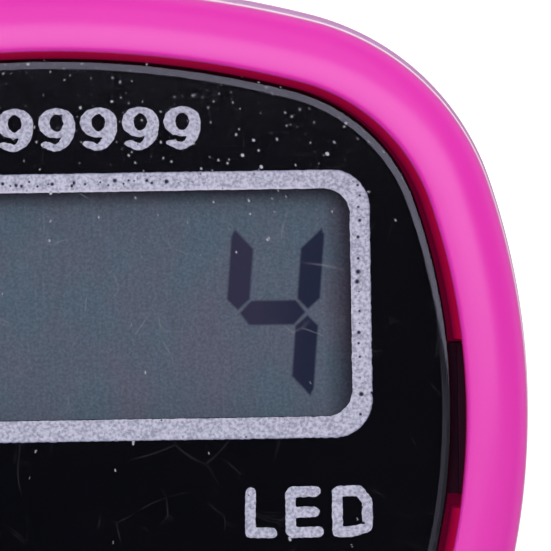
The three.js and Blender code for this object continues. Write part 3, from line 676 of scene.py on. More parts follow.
# The display's sheet. With bars, it is the finish of the dark bars, which fade into the sheet at their edges.
def makeDisplayFinish(name, values, bars=None):
    finish, shader = newFinish(name, values["shine"])
    patches = cloud(values["patch"], 3, objectPlace(scale=(1, 0.6, 1)))
    tone = blended(stretched(patches, 0.32, 0.68), values["teal"], values["mauve"])
    (streakScale, streakShare), (grainScale, grainShare) = values["streaks"], values["grain"]
    streaks, grain = cloud(streakScale, 2, objectPlace(scale=(1, 0.07, 1))), cloud(grainScale)
    for pattern, spread in ((streaks, streakShare), (grain, grainShare)):
        dim = ranged(pattern, 1 - spread, 1 + spread, 0.3, 0.7)
        tone = addNode("VectorMath", {0: tone, "Scale": dim}, operation="SCALE")[0]
    x, y = surfacePlace()[:2]
    # Painted shadow of the window's top and right edges on the sheet
    side = window["width"] / 2
    topShade = times(stretched(y, windowTop - values["topShade"], windowTop), values["topShare"])
    shade = larger(topShade, stretched(x, side - values["sideShade"], side))
    tone = blended(shade, tone, values["shade"], "MULTIPLY")
    if bars:
        inside = addNode("Attribute", attribute_name=bars["edge"])["Fac"]
        inside = addNode("MapRange", {"Value": inside}, interpolation_type="SMOOTHSTEP")[0]
        dark = blended(stretched(x, bars["from"], bars["to"]), bars["left"], bars["right"])
        tone = blended(inside, tone, dark)
    feed(tone, shader["Base Color"])
    feed(ranged(grain, 0.4, 0.5), shader["Roughness"])
    return finish


# Inner wall of the bezel, with painted light and shade: a painted red glow stands in for the light that has
# bounced in the groove and leaves only red, and painted shade makes it darker lower down
wallPaintedGlowAndShade = {"top": 11.0 * mm, "lit": 0.2 * mm, "depth": 0.64 * mm, "fade": 0.5 * mm,
            "light": (0.4, 0.0006, 0.04), "dark": (0.21, 0.001, 0.028), "deep": (0.15, 0.001, 0.026),
            "glow": 0.42, "shine": 0.04}


def makeWallPaintedGlowAndShade(values):
    finish, shader = newFinish("paintedGlowShadeWall", values["shine"])
    height, top = surfacePlace()[2], backZ + values["top"]
    foot = top - values["depth"]
    tone = blended(stretched(height, foot - values["fade"], foot), values["deep"], values["dark"])
    tone = blended(stretched(height, foot, top - values["lit"]), tone, values["light"])
    # The painted tone is both the colour and a glow, though the wall is no lamp
    for socket in ("Base Color", "Emission Color"):
        feed(tone, shader[socket])
    shader["Emission Strength"].default_value = values["glow"]
    return finish


made["paintedGlowShadeWall"] = makeWallPaintedGlowAndShade(wallPaintedGlowAndShade)
made["clearLens"] = makeLensFinish(lensLook)
made["silverInk"] = makeInkFinish(inkLook)
made["displaySheet"] = makeDisplayFinish("displaySheet", displayLook)
made["displaySegment"] = makeDisplayFinish("displaySegment", displayLook, segmentLook)
print("finishes made:", len(made))

# CAD pieces that keep their own shape, by finish
kept = {
    "chassisBlackPaintedPinkBounce": ["chassis"], "displaySheet": ["lcd_front_polariser"], "foil": ["lcd_reflector"],
    "displayGlass": ["lcd_front_glass", "lcd_rear_glass"], "lightGuide": ["light_guide"],
    "zebraRubber": ["zebra_strip"], "greenBoard": ["circuit_board"], "chipResin": ["chip_blob"],
    "ceramic": ["chip_capacitor"], "resistorBody": ["chip_resistor_1", "chip_resistor_2"],
    "lampBody": ["led_lamp"], "steel": ["crystal_can", "battery_1", "battery_2"],
    "domeRubber": ["count_dome", "reset_dome", "led_dome"],
    "brassPlate": ["contact_positive", "contact_negative", "contact_bridge"],
}
for finish, nodes in kept.items():
    for node in nodes:
        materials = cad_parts[node].data.materials
        materials.clear()
        materials.append(made[finish])


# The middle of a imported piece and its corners
def packed(node):
    low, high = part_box(node)
    return (low + high) / 2, low, high


caseScrews = [node for node in sorted(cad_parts) if node.startswith("case_screw")]

# Front bezel: outer wall, crown near its inner edge, slanted inner wall, shelf and skirt
bezel = inMetres({
    "parting": 6.2,  # height of the joint with the rear shell
    "wallTop": 9.3,
    "shoulder": (0.03, 10.03),  # end of the drafted wall
    "brow": (0.12, 10.275),  # end of the tight bend above it
    "browPull": 0.5,
    "crown": (1.69, 11.0),
    "crownPull": 0.72,
    "width": 1.84,
    "lipDrop": 0.15,
    "wallInset": 2.04,
    "wallDrop": 0.64,
    "shelfTop": 8.2,
    "shelfInset": 2.55,
    "shelfThickness": 0.6,
    "skirtInset": 1.3,
    "tongueInset": 0.8,
    "tongueDrop": 0.5,
    "edge": 0.06,
    "slack": 0.01,  # for faces that lie in a notch, and on the shelf
    "shelfSlack": 0.03,
}) | {"browSlope": math.radians(50), "browTurn": 0.4, "steps": 14}
notch = inMetres({"length": 4.92, "y": -0.44, "depth": 0.42, "inner": 1.0, "low": 8.18, "high": 10.83,
                  "rounding": 0.03})


def bezelSection(values, top):
    steps, parting, edge = values["steps"], values["parting"], values["edge"]
    wall, shelf, shelfTop = values["wallInset"], values["shelfInset"], values["shelfTop"]
    skirt, tongue = values["skirtInset"], values["tongueInset"]
    shoulder, brow, crest = (Vector(values[key]) for key in ("shoulder", "brow", "crown"))
    draft = (shoulder - Vector((0, values["wallTop"]))).normalized()
    slope = Vector((math.cos(values["browSlope"]), math.sin(values["browSlope"])))
    pull = (brow - shoulder).length * values["browTurn"]
    bent = bend(shoulder, shoulder + draft * pull, brow - slope * pull, brow, steps)
    crown = bend(brow, brow + slope * values["browPull"], crest - Vector((values["crownPull"], 0)), crest,
                 steps * 2)
    width, drop = values["width"], values["lipDrop"]
    lip = bend(crest, (crest.x + (width - crest.x) / 2, top), (width, top - drop / 3), (width, top - drop),
               steps)
    skirtLow, shelfLow = parting - values["tongueDrop"], shelfTop - values["shelfThickness"]
    return [(edge, parting), (0, parting + edge), (0, values["wallTop"]), *bent, *crown[1:], *lip[1:],
            (wall, top - values["wallDrop"]), (wall, shelfTop), (shelf, shelfTop), (shelf, shelfLow),
            (skirt, shelfLow), (skirt, skirtLow), (tongue, skirtLow), (tongue, parting)]


def makeBezel(values):
    top = bezelHigh.z - backZ
    piece = shaped("bezel", sweepOutline(bezelSection(values, top), closed=True))
    inner = outline["halfWidth"] - values["wallInset"] - notch["inner"]
    outer = inner + notch["inner"] + notch["depth"]
    y, half = widestY + notch["y"], notch["length"] / 2
    tools = []
    for side in (1, -1):
        left, right = sorted((side * inner, side * outer))
        tools.append(roundedBox((left, y - half, backZ + notch["low"]),
                                (right, y + half, backZ + notch["high"]), notch["rounding"]))
    carved(piece, tools)
    dressed(piece, "pinkPlastic", stands=["front_bezel"])
    piece.data.materials.append(made["paintedGlowShadeWall"])
    shelf, slack, shelfSlack = values["shelfTop"] + backZ, values["slack"], values["shelfSlack"]
    lipEnd = top - values["lipDrop"] + backZ
    # Inward faces of the inner wall, faces in the notches and the shelf take the inner wall's painted glow and
    # shade
    for face in piece.data.polygons:
        centre = face.center
        inward = face.normal.to_2d().dot(centre.to_2d() - Vector((0, widestY))) < 0
        inNotch = abs(centre.y - y) < half + slack and inner - slack < abs(centre.x) < outer + slack
        onShelf = face.normal.z > 0.9 and abs(centre.z - shelf) < shelfSlack
        if onShelf or (inward or inNotch) and shelf - shelfSlack < centre.z < lipEnd:
            face.material_index = 1


makeBezel(bezel)

# Rear shell: rounded back edge, a rim that stands past the bezel, and the openings in the back
rearShell = inMetres({
    "edgeInset": 2.0,
    "edgePull": 0.7,
    "edgeRise": 0.5,
    "edgeHeight": 2.4,
    "rimRounding": 0.12,
    "wallInset": 1.45,
    "grooveInset": 0.7,
    "grooveDepth": 0.6,
    "floor": 1.2,
    "flat": 0.3,
    "doorDepth": 0.8,
    "gap": 0.15,
    "wellRadius": 4.1,
    "wellLength": 16.7,
    "wellTop": 4.95,
    "wallThickness": 0.7,
    "screwSink": 1.3,
    "sinkDepth": 0.85,
    "slotWidth": 1.7,
    "slotLength": 8.3,
    "slotX": 9.2,
    "slotRounding": 0.15,
    "over": 0.2,  # the cutting tools stand out this far
}) | {"proud": backHigh.x - 14.04 * mm, "steps": 14}


def makeRearShell(values):
    parting, rim, proud = bezel["parting"], values["rimRounding"], values["proud"]
    inset, wall, groove, floor = (values[key] for key in ("edgeInset", "wallInset", "grooveInset", "floor"))
    side = bend((inset, 0), (values["edgePull"], 0), (-proud, values["edgeRise"]),
                (-proud, values["edgeHeight"]), values["steps"] * 2)
    rounding = bend((-proud, parting - rim), (-proud, parting - rim / 2), (-proud + rim / 2, parting),
                    (-proud + rim, parting), 4)
    grooveLow = parting - values["grooveDepth"]
    section = [(inset + values["flat"], 0), *side, *rounding, (groove, parting), (groove, grooveLow),
               (wall, grooveLow), (wall, floor), (wall + values["flat"], floor)]
    piece = shaped("rear_case", sweptBody(section))
    gap, over, thick = values["gap"], values["over"], values["wallThickness"]
    radius, reach, wellTop = values["wellRadius"], values["wellLength"] / 2, backZ + values["wellTop"]
    well = stadium(radius + thick, bandY - reach - thick, bandY + reach + thick, backZ + floor / 2, wellTop)
    carved(piece, [well], "UNION")
    tools = [
        stadium((doorHigh.x - doorLow.x) / 2 + gap, doorLow.y - gap, doorHigh.y + gap, backZ - over,
                backZ + values["doorDepth"]),
        stadium(radius, bandY - reach, bandY + reach, backZ, wellTop + over),
    ]
    sink = sinkProfile(values["screwSink"], backZ, values["sinkDepth"], over)
    tools += [turned(sink, packed(node)[0], 48) for node in caseScrews]
    for x in (values["slotX"], -values["slotX"]):
        tools.append(boxAround(x, bandY, values["slotWidth"] / 2, values["slotLength"] / 2, backZ - over,
                               backZ + floor + over, values["slotRounding"]))
    carved(piece, tools)
    dressed(piece, "pinkPlastic", stands=["rear_shell"])


makeRearShell(rearShell)

# Buttons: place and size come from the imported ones
smallButton = inMetres({"flange": 0.5, "flangeHeight": 0.7, "shoulder": 0.4, "dish": 0}) | {"dishShare": 0.4}
buttons = {
    "count": inMetres({"flange": 0.6, "flangeHeight": 0.8, "shoulder": 1.1, "dish": 0.25}) | {
        "dishShare": 0.62},
    "reset": smallButton,
    "led": smallButton,
}
buttonGap = 0.15 * mm
flangeEdge = 0.05 * mm


def buttonRadius(name):
    low, high = packed(name + "_button")[1:]
    return (high.x - low.x) / 2 - buttons[name]["flange"]


def makeButton(name, values):
    place, lowCorner, highCorner = packed(name + "_button")
    radius, low, high = buttonRadius(name), lowCorner.z, highCorner.z
    shoulder, dish = values["shoulder"], values["dish"]
    flange, flangeHigh = radius + values["flange"], low + values["flangeHeight"]
    brow = radius * values["dishShare"]
    profile = [(0, low), (flange - flangeEdge, low), (flange, low + flangeEdge), (flange, flangeHigh),
               (radius, flangeHigh)]
    profile += bend((radius, high - shoulder), (radius, high - shoulder * 0.45),
                    (radius - shoulder * 0.45, high), (max(radius - shoulder * 1.6, brow), high), 16)
    if dish:
        profile += bend((brow, high), (brow * 0.8, high), (brow * 0.5, high - dish), (0, high - dish), 16)[1:]
    else:
        profile.append((0, high))
    dressed(shaped(name + "_cap", turned(profile, place, 128)), "chrome", body=name + "_key",
            stands=[name + "_button"], sharp=40)


for name, values in buttons.items():
    makeButton(name, values)

# Clear panel and black film, both with a hole for each button
panel = inMetres({
    "inset": 2.13,
    "shift": (-0.09, 0.1),  # it lies a little off the middle
    "edge": 0.28,
    "edgeDrop": 0.11,
    "flat": 0.03,
    "step": 0.09,
    "holeFlare": 0.1,
    "over": 0.2,  # the hole cutters stand out this far
    "filmDrop": 0.03,  # the film lies this far under the panel, and the ink between them
}) | {"crease": math.radians(5)}


def buttonHoles(low, high, flare):
    tools = []
    for name in buttons:
        reach = buttonRadius(name) + buttonGap
        profile = [(0, low), (reach, low), (reach, high - 2 * flare), (reach + flare, high - flare),
                   (reach + 3 * flare, high + flare), (0, high + flare)]
        tools.append(turned(profile, packed(name + "_button")[0]))
    return tools


def makeLens(values):
    low, high = lensLow.z - backZ, lensHigh.z - backZ
    inset, edge, drop, flat = (values[key] for key in ("inset", "edge", "edgeDrop", "flat"))
    rim = bend((inset, high - drop), (inset, high - drop * 0.45),
               (inset + edge * 0.45, high - edge * 0.55 * math.tan(values["crease"])),
               (inset + edge, high), 16)
    section = [(inset + flat, low), (inset, low), *rim, (inset + edge + flat, high)]
    piece = shaped("clear_panel", sweptBody(section, values["shift"], step=values["step"]))
    carved(piece, buttonHoles(lensLow.z - values["over"], lensHigh.z, values["holeFlare"]))
    dressed(piece, "clearLens", stands=["face_lens"])


# A rectangle with round corners in the window's place, as a flat face: a circle with its quarters apart
def windowShape(grow, corner, height, shift=0, quarter=14):
    bm = bmesh.new()
    bmesh.ops.create_circle(bm, cap_ends=True, radius=corner, segments=quarter * 4,
                            matrix=Matrix.Rotation(math.pi / 4 / quarter, 4, "Z"))
    w, h = window["width"] / 2 + grow - corner, window["height"] / 2 + grow - corner
    for vert in bm.verts:
        vert.co += Vector((math.copysign(w, vert.co.x), math.copysign(h, vert.co.y), 0))
    bmesh.ops.translate(bm, verts=bm.verts, vec=(0, windowMiddle + shift, height))
    return bm


def makeFilm(values):
    inset = values["inset"]
    section = [(inset, filmLow.z - backZ), (inset, filmHigh.z - backZ - values["filmDrop"])]
    piece = shaped("printed_film", sweptBody(section, values["shift"]))
    opening = windowShape(0, window["corner"], filmLow.z - 0.1 * mm)
    thicken(opening, 0.5 * mm)
    carved(piece, [opening, *buttonHoles(filmLow.z - values["over"], filmHigh.z + values["over"], 0)])
    dressed(piece, "blackFilm", stands=["face_film"])


makeLens(panel)
makeFilm(panel)

# Silver ink between film and panel
ink = inMetres({"low": 0.026, "thickness": 0.014})  # below the panel
inkZ = lensLow.z - ink["low"]


# Moves the rim of flat ink in and out a little, as screen printing does
def roughen(bm, amount, wave):
    for vert in bm.verts:
        vert.co += noise.noise_vector(vert.co / wave) * amount


def makeInkFrame(values):
    bm = windowShape(values["width"], values["corner"], inkZ, values["shift"])
    inner = windowShape(values["lap"], values["innerCorner"], inkZ + weld * 4)
    for loop in (bm, inner):
        bmesh.ops.delete(loop, geom=loop.faces[:], context="FACES_ONLY")
        for edge in [edge for edge in loop.edges if edge.calc_length() > values["step"] * 2]:
            bmesh.ops.subdivide_edges(loop, edges=[edge], cuts=int(edge.calc_length() / values["step"]))
    joined(bm, inner)
    innerRim = bm.verts.layers.int.new("innerRim")
    for vert in bm.verts:
        vert[innerRim] = vert.co.z > inkZ + weld * 2
        vert.co.z = inkZ
    roughen(bm, values["ragged"], values["wave"])
    bmesh.ops.triangle_fill(bm, edges=bm.edges[:], use_beauty=True, normal=(0, 0, 1))
    middle = [face for face in bm.faces if all(vert[innerRim] for vert in face.verts)]
    bmesh.ops.delete(bm, geom=middle, context="FACES")
    for vert in bm.verts:
        vert.co.z = inkZ
    thicken(bm, ink["thickness"])
    dressed(shaped("silver_frame", bm), "silverInk")


makeInkFrame(inkFrame)


# Letters drawn with a round pen: strokes on a box one high
def arc(x, y, width, height, start, end, steps=12):
    angles = [math.radians(start + (end - start) * i / steps) for i in range(steps + 1)]
    return [(x + width * math.cos(a), y + height * math.sin(a)) for a in angles]


penStrokes = {
    "L": [[(0.02, 1), (0, 0.5), (0, 0.02), (0.525, 0)]],
    "E": [[(0.61, 1), (0.05, 1), (0, 0.93), (0, 0.04), (0.04, 0), (0.68, 0.01)], [(0, 0.5), (0.58, 0.5)]],
    "D": [[(0, 0.02), (0, 0.97), (0.05, 1), (0.53, 1), (0.72, 0.76), (0.735, 0.3), (0.72, 0.12), (0.55, 0.05),
           (0.3, 0), (0, 0)]],
    "R": [[(0, 0), (0, 1), (0.4, 1), *arc(0.4, 0.75, 0.22, 0.25, 90, -90), (0, 0.5)],
          [(0.32, 0.5), (0.64, 0)]],
    "S": [[*arc(0.31, 0.75, 0.3, 0.25, 20, 250), *arc(0.31, 0.25, 0.31, 0.26, 80, -160)]],
    "T": [[(0, 1), (0.68, 1)], [(0.34, 1), (0.34, 0)]],
    "0": [arc(0.34, 0.5, 0.34, 0.5, 0, 360)],
    "9": [arc(0.34, 0.68, 0.34, 0.32, 0, 360),
          [(0.68, 0.68), *arc(0.2, 0.56, 0.48, 0.56, 0, -78), (0.06, 0.12)]],
    "-": [[(0, 0.46), (0.36, 0.46)]],
    " ": [[(0, 0), (0.1, 0)]],  # not drawn
}
words = {
    "LED": inMetres({"x": 7.57, "y": -3.0, "height": 1.5, "pen": 0.154, "space": 0.4}) | {"wide": 1},
    "RESET": inMetres({"x": -7.57, "y": -3.0, "height": 1.3, "pen": 0.13, "space": 0.34}) | {"wide": 1},
    "0 - 99999": inMetres({"x": 0, "y": 8.24, "height": 1.28, "pen": 0.088, "space": 0.3}) | {"wide": 1.9},
}
penDetail = inMetres({"voxel": 0.02, "ragged": 0.022, "wave": 0.12}) | {"flatten": 0.03}


# One pen stroke: a ball at each point, and a rod between two of them
def addStroke(bm, dots, pen):
    for dot in dots:
        bmesh.ops.create_icosphere(bm, subdivisions=2, radius=pen, matrix=Matrix.Translation(dot))
    for start, end in zip(dots, dots[1:]):
        along = end - start
        if along.length > weld:
            place = Matrix.Translation((start + end) / 2) @ along.to_track_quat("Z", "Y").to_matrix().to_4x4()
            bmesh.ops.create_cone(bm, cap_ends=True, segments=20, radius1=pen, radius2=pen,
                                  depth=along.length, matrix=place)


def drawWord(text, values):
    bm = bmesh.new()
    pen, wide = values["pen"], values["wide"]
    tall = values["height"] - 2 * pen
    x = 0
    for letter in text:
        strokes = penStrokes[letter]
        for stroke in strokes if letter != " " else []:
            addStroke(bm, [Vector((x + across * tall / wide, up * tall, 0)) for across, up in stroke], pen)
        reach = max(across for stroke in strokes for across, up in stroke) * tall
        x += (reach + values["space"]) / wide + pen
    bmesh.ops.scale(bm, verts=bm.verts, vec=(wide, 1, 1))
    piece = shaped("word_" + text.lower().replace(" ", "").replace("-", "_"), bm)
    modified(piece, "remesh", "REMESH", mode="VOXEL", voxel_size=penDetail["voxel"])
    applied(piece)
    bm = bmesh.new()
    bm.from_mesh(piece.data)
    across = [vert.co.x for vert in bm.verts]
    roughen(bm, penDetail["ragged"], penDetail["wave"])
    middle = Vector((values["x"] - (min(across) + max(across)) / 2, widestY + values["y"] - tall / 2,
                     inkZ + ink["thickness"] / 2))
    flat = Matrix.Diagonal((1, 1, penDetail["flatten"], 1))
    bmesh.ops.transform(bm, matrix=Matrix.Translation(middle) @ flat, verts=bm.verts)
    bm.to_mesh(piece.data)
    bm.free()
    dressed(piece, "silverInk")


for word, values in words.items():
    drawWord(word, values)

# Seven-segment digits, each bar mitred at its corners
digits = inMetres({
    "height": 4.9,
    "width": 2.73,
    "bar": 0.68,
    "gap": 0.055,
    "chop": 0.1,
    "pitch": 3.34,
    "lastX": 6.615,
    "y": 2.8,
    "lift": (0.0008, 0.003),  # of a bar's edge and its middle
    "blur": (-0.04, 0.06),  # a bar's edge fades between these distances inside it
}) | {"shown": "    4", "slant": math.radians(4.8)}
litBars = {"0": "abcdef", "1": "bc", "2": "abged", "3": "abgcd", "4": "fgbc", "5": "afgcd", "6": "afgedc",
           "7": "abc", "8": "abcdefg", "9": "abcdfg"}


# The corners of one upright bar at the upper right of a digit, and of the middle and top bars
def barCorners(bar, values):
    w, h, t, g, c = values["width"] / 2, values["height"] / 2, values["bar"], values["gap"], values["chop"]
    upright = [(w - c, h), (w, h - 2 * c), (w, t / 2 + g), (w - t / 2, g * 1.4), (w - t, t / 2 + g),
               (w - t, h - t + c)]
    middle = [(w - t / 2 - g, 0), (w - t - g / 2, t / 2 + g / 2), (-w + t + g / 2, t / 2 + g / 2),
              (-w + t / 2 + g, 0), (-w + t + g / 2, -t / 2 - g / 2), (w - t - g / 2, -t / 2 - g / 2)]
    top = [(w - 2 * c, h), (w - t, h - t), (-w + t, h - t), (-w + 2 * c, h)]
    flips = {"a": (top, 1, 1), "b": (upright, 1, 1), "c": (upright, 1, -1), "d": (top, 1, -1),
             "e": (upright, -1, -1), "f": (upright, -1, 1), "g": (middle, 1, 1)}
    corners, flipX, flipY = flips[bar]
    return [(x * flipX, y * flipY) for x, y in corners]


# Moves every side of a flat shape inwards by a distance
def drawnIn(corners, distance):
    moved = []
    afterCorners = corners[1:] + corners[:1]
    turn = sum(a.cross(b) for a, b in zip(corners, afterCorners))
    for before, here, after in zip(corners[-1:] + corners[:-1], corners, afterCorners):
        sides = [(here - before).normalized(), (after - here).normalized()]
        inward = [Vector((-side.y, side.x)) * math.copysign(1, turn) for side in sides]
        moved.append(here + (inward[0] + inward[1]) * distance / (1 + inward[0].dot(inward[1])))
    return moved


def makeDigits(values):
    bm = bmesh.new()
    edgeShare = bm.verts.layers.float.new(segmentLook["edge"])
    for place, digit in enumerate(reversed(values["shown"])):
        x0 = values["lastX"] - place * values["pitch"]
        for bar in litBars.get(digit, ""):
            corners = [Vector((x0 + x + y * math.tan(values["slant"]), widestY + values["y"] + y))
                       for x, y in barCorners(bar, values)]
            loops = []
            for share, (lift, blur) in enumerate(zip(values["lift"], values["blur"])):
                ring = [bm.verts.new((*corner, glassTop + lift)) for corner in drawnIn(corners, blur)]
                for vert in ring:
                    vert[edgeShare] = share
                loops.append([bm.edges.new(pair) for pair in zip(ring, ring[1:] + ring[:1])])
            bmesh.ops.bridge_loops(bm, edges=loops[0] + loops[1])
            bmesh.ops.contextual_create(bm, geom=loops[1])
            bmesh.ops.contextual_create(bm, geom=loops[0])
    dressed(shaped("digit_segments", bm), "displaySegment", sharp=10)


makeDigits(digits)

# Battery door with its nail grip and screw hole
door = inMetres({"rounding": 0.12, "sink": 1.42, "sinkEdge": 0.08, "sinkDepth": 0.45, "hole": 0.85,
                 "over": 0.1, "gripWidth": 4.0, "gripDepth": 0.9, "gripSink": 0.35, "ribPitch": 0.55,
                 "ribHalf": 0.14, "ribRounding": 0.06, "ribOver": 0.2}) | {"ribs": 5, "ribTaper": 0.12}


def makeDoor(values):
    low, high, over = doorLow.z, doorHigh.z, values["over"]
    plate = stadium((doorHigh.x - doorLow.x) / 2, doorLow.y, doorHigh.y, low, high, values["rounding"])
    sink, hole, sinkTop = values["sink"], values["hole"], low + values["sinkDepth"]
    screwHole = [(0, low - over), (sink + over, low - over), (sink, low + values["sinkEdge"]), (sink, sinkTop),
                 (hole, sinkTop), (hole, high + over), (0, high + over)]
    tools = [turned(screwHole, packed("door_screw")[0], 64)]
    for rib in range(values["ribs"]):
        y = doorLow.y + values["gripDepth"] + rib * values["ribPitch"]
        half = values["gripWidth"] / 2 * (1 - values["ribTaper"] * rib)
        tools.append(boxAround(0, y, half, values["ribHalf"], low - values["ribOver"],
                               low + values["gripSink"] * 0.6, values["ribRounding"]))
    piece = carved(shaped("battery_lid", plate), tools)
    dressed(piece, "pinkPlastic", body="battery_cover", stands=["battery_door"])
    modified(piece, "evenShade", "WEIGHTED_NORMAL", keep_sharp=True)  # the flat face shades evenly


makeDoor(door)

# Screws with a cross recess, head down
screws = inMetres({"rounding": 0.12, "slotWidth": 0.3, "slotDepth": 0.3, "slotRounding": 0.04,
                   "slotOver": 0.2, "pitch": 0.32, "thread": 0.09}) | {"shankShare": 0.48, "slotShare": 0.62}


def makeScrew(node, body, headHeight, values):
    place, low, high = packed(node)
    head, rounding, pitch = (high.x - low.x) / 2, values["rounding"], values["pitch"]
    shank = head * values["shankShare"]
    headTop, root = low.z + headHeight, shank - values["thread"]
    profile = [(0, low.z), (head - 2 * rounding, low.z), (head - rounding / 2, low.z + rounding / 2),
               (head, low.z + rounding * 1.5), (head, headTop), (shank, headTop)]
    z = headTop + pitch
    while z < high.z - shank - pitch:
        profile += [(root, z), (shank, z + pitch / 2)]
        z += pitch
    profile += [(root, high.z - shank), (0, high.z)]
    piece = shaped(node + "_turned", turned(profile, place, 40))
    arm, half = head * values["slotShare"], values["slotWidth"] / 2
    carved(piece, [boxAround(place.x, place.y, wide, deep, low.z - values["slotOver"],
                             low.z + values["slotDepth"], values["slotRounding"])
                   for wide, deep in ((arm, half), (half, arm))])
    dressed(piece, "steel", body=body, stands=[node], sharp=30)


for node in caseScrews:
    makeScrew(node, "housing", 0.65 * mm, screws)
makeScrew("door_screw", "cover_screw", 0.35 * mm, screws)

# Finger band: two soft halves that leave the slots, bend under the counter and snap together
band = inMetres({
    "width": 8.0,
    "thickness": 1.4,
    "rootX": 9.2,
    "bulge": 3.2,
    "bulgeDrop": 9.5,
    "sweep": 6.5,
    "flat": 3.5,
    "outerTail": 6.6,
    "innerTail": 2.6,
    "headWidth": 2.8,
    "headThickness": 1.0,
    "headLow": 1.35,
    "headRounding": 0.2,
    "rounding": 0.32,
    "tipRounding": 2.4,
    "hole": 0.95,
    "sink": 1.7,
    "sinkDepth": 0.6,
    "over": 0.3,  # the hole cutters stand out this far
    "studX": -1.6,
    "spareX": -4.6,
}) | {"bendHoleShares": [0.62, 0.78], "steps": 56}
stud = inMetres({"radius": 0.8, "head": 1.5, "thickness": 0.45, "lift": 0.1, "edge": 0.1})


def bandBend(side, runZ, values):
    rootX, flat = values["rootX"], values["flat"]
    places = ((rootX, backZ), (rootX + values["bulge"], backZ - values["bulgeDrop"]),
              (flat + values["sweep"], runZ), (flat, runZ))
    return interpolate_bezier(*(Vector((side * x, z)) for x, z in places), values["steps"] + 1)


def makeBandHalf(name, side, runZ, tail, values):
    bm = bmesh.new()
    width, headLow, headThickness = values["width"], values["headLow"], values["headThickness"]
    rootX = side * values["rootX"]
    centre = [Vector((rootX, backZ + headLow + headThickness / 2)), *bandBend(side, runZ, values),
              Vector((-side * tail, runZ))]
    line = [bm.verts.new((point.x, bandY - width / 2, point.y)) for point in centre]
    chain = [bm.edges.new(pair) for pair in zip(line, line[1:])]
    across = bmesh.ops.extrude_edge_only(bm, edges=chain)["geom"]
    bmesh.ops.translate(bm, verts=only(bmesh.types.BMVert, across), vec=(0, width, 0))
    tip = [vert for vert in bm.verts if abs(vert.co.x + side * tail) < weld]
    bevelled(bm, tip, values["tipRounding"], 12, "VERTICES")
    piece = shaped(name, bm)
    modified(piece, "wall", "SOLIDIFY", thickness=values["thickness"], offset=0, use_even_offset=True)
    modified(piece, "soft", "BEVEL", width=values["rounding"], segments=3, limit_method="ANGLE",
             angle_limit=math.radians(50))
    applied(piece)
    head = boxAround(rootX, bandY, values["headWidth"] / 2, width / 2, backZ + headLow,
                     backZ + headLow + headThickness, values["headRounding"])
    return carved(piece, [head], "UNION")


def makeBand(values):
    thick, over, hole, low = values["thickness"], values["over"], values["hole"], bandLow.z
    holeRun, studRun = low + thick / 2, low + thick * 1.5
    studPlace = (values["studX"], bandY)
    holes = [turned(pinProfile(hole, low - over, low + thick + over), place, 48)
             for place in (studPlace, (values["spareX"], bandY))]
    holes.append(turned(sinkProfile(values["sink"], low, values["sinkDepth"], over), studPlace, 64))
    path = bandBend(1, holeRun, values)
    for share in values["bendHoleShares"]:
        here = round(share * values["steps"])
        along = path[here + 1] - path[here - 1]
        punch = turned(pinProfile(hole, -thick, thick), (0, 0), 48)
        place = Matrix.Translation((path[here].x, bandY, path[here].y))
        lean = Matrix.Rotation(-math.atan2(along.y, along.x), 4, "Y")
        bmesh.ops.transform(punch, verts=punch.verts, matrix=place @ lean)
        holes.append(punch)
    outer = carved(makeBandHalf("strap_hole_half", 1, holeRun, values["outerTail"], values), holes)
    inner = makeBandHalf("strap_stud_half", -1, studRun, values["innerTail"], values)
    low += stud["lift"]
    high, head, edge = low + stud["thickness"], stud["head"], stud["edge"]
    pin = [(0, low), (head - edge, low), (head, low + edge), (head, high - edge), (head - edge, high),
           (stud["radius"], high), (stud["radius"], studRun), (0, studRun)]
    carved(inner, [turned(pin, studPlace, 64)], "UNION")
    for piece, node in ((outer, "band_hole_half"), (inner, "band_stud_half")):
        dressed(piece, "silicone", stands=[node], sharp=38)


makeBand(band)

# Stage: a pale floor, soft boxes round a dark gap for the camera, and the photograph's camera
stage = {
    "floor": 3.0,
    "floorColour": (0.5, 0.5, 0.5),
    "floorRough": 0.9,
    "floorGlow": (0.08, 0.75),  # for light that bounces, and where it is seen or mirrored
    "world": (0.42, 0.02, 0.05, 0.8),  # its light low down and high up, and where the change starts and ends
}
# Soft boxes: the corners of each, its height, the light it gives, and its turn in degrees
softboxes = {
    "key": ((-0.42, 0.0165), (0.52, 0.365), 0.5, 3.2, -3),
    "keyRight": ((0.1, -0.02), (0.36, 0.26), 0.49, 0.24, 0),
    "side": ((0.04, -1.2), (1.6, -0.01), 0.5, 0.5, 0),
    "near": ((0.035, -0.16), (0.2, -0.01), 0.49, 0.5, 0),
    "back": ((-0.8, 0.42), (0.8, 1.4), 0.5, 0.8, 0),
}
keyTint = (1.0, 0.97, 1.1)
camera = {
    "aim": (6.69 * mm, 3.937 * mm),  # from the middle of the outline's widest line
    "field": 15.99 * mm,  # width of the view at the panel
    "distance": 0.33,
    "roll": math.radians(0.88),
    "leanX": math.radians(-0.8),
    "leanY": math.radians(1.75),
    "sensor": 36,
}


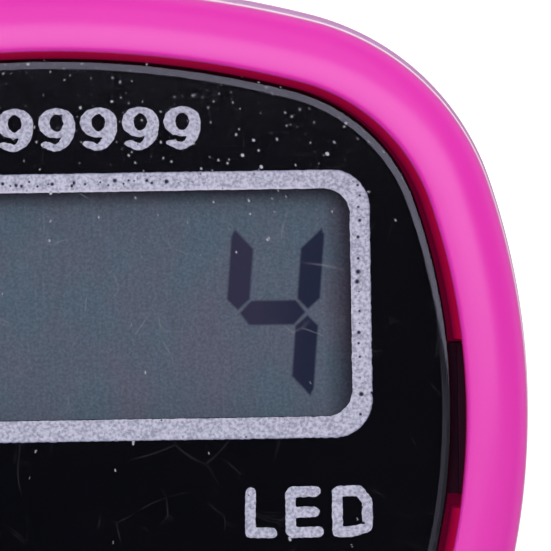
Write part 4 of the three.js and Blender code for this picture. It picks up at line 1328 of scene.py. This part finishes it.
def makeFloor(values):
    bm = bmesh.new()
    bmesh.ops.create_circle(bm, cap_ends=True, radius=values["floor"], segments=96)
    floor = shaped("floor", bm)
    finish, shader = newFinish("paleFloor", 0)
    for label, value in (("Base Color", values["floorColour"]), ("Emission Color", (1, 1, 1)),
                         ("Roughness", values["floorRough"])):
        feed(value, shader[label])
    light = addNode("LightPath")
    seen = larger(light["Is Camera Ray"], light["Is Glossy Ray"])
    feed(ranged(seen, *values["floorGlow"]), shader["Emission Strength"])
    nodes = finish.node_tree.nodes
    underneath = addNode("NewGeometry")["Backfacing"]  # nothing hides the counter from an eye under the floor
    solid, clear = nodes["Principled BSDF"].outputs[0], addNode("BsdfTransparent")[0]
    surface = addNode("MixShader", {0: underneath, 1: solid, 2: clear})[0]
    feed(surface, nodes["Material Output"].inputs["Surface"])
    floor.data.materials.append(finish)


def addSoftbox(name, low, high, height, radiance, turn):
    light = bpy.data.lights.new(name, "AREA")
    low, high, turn = Vector(low), Vector(high), math.radians(turn)
    light.shape, light.size, light.size_y = "RECTANGLE", high.x - low.x, high.y - low.y
    light.energy = radiance * light.size * light.size_y * math.pi
    light.color = keyTint
    lamp = bpy.data.objects.new(name, light)
    middle = Matrix.Rotation(turn, 2) @ ((low + high) / 2)
    lamp.location = middle.to_3d() + Vector((0, 0, height))
    lamp.rotation_euler = (0, 0, turn)
    lamp.visible_camera = False
    bpy.context.scene.collection.objects.link(lamp)


def makeWorld(low, high, changeFrom, changeTo):
    world = bpy.data.worlds.new("studio")
    bpy.context.scene.world = world
    world.use_nodes = True
    background = opened(world.node_tree).nodes["Background"].inputs
    up = addNode("SeparateXYZ", {0: addNode("TexCoord")["Generated"]})[2]
    feed(ranged(up, low, high, changeFrom, changeTo), background["Strength"])
    feed((1, 1, 1), background["Color"])


def makeCamera(values):
    lens = bpy.data.cameras.new("camera")
    eye = bpy.data.objects.new("camera", lens)
    bpy.context.scene.collection.objects.link(eye)
    aim = Vector((values["aim"][0], widestY + values["aim"][1], lensHigh.z))
    away = Vector((math.tan(values["leanX"]), math.tan(values["leanY"]), 1)).normalized()
    eye.location = aim + away * values["distance"]
    right = Vector((0, 1, 0)).cross(away).normalized()
    facing = Matrix((right, away.cross(right), away)).transposed()
    eye.rotation_euler = (facing @ Matrix.Rotation(-values["roll"], 3, "Z")).to_euler()
    lens.sensor_width = values["sensor"]
    lens.lens = values["sensor"] * values["distance"] / values["field"]
    lens.clip_start, lens.clip_end = 0.01, 20
    bpy.context.scene.camera = eye


makeFloor(stage)
makeWorld(*stage["world"])
for name, values in softboxes.items():
    addSoftbox(name, *values)
makeCamera(camera)
bpy.context.scene.view_settings.view_transform = "Standard"
bpy.context.scene.view_settings.look = "None"
print("stage made")
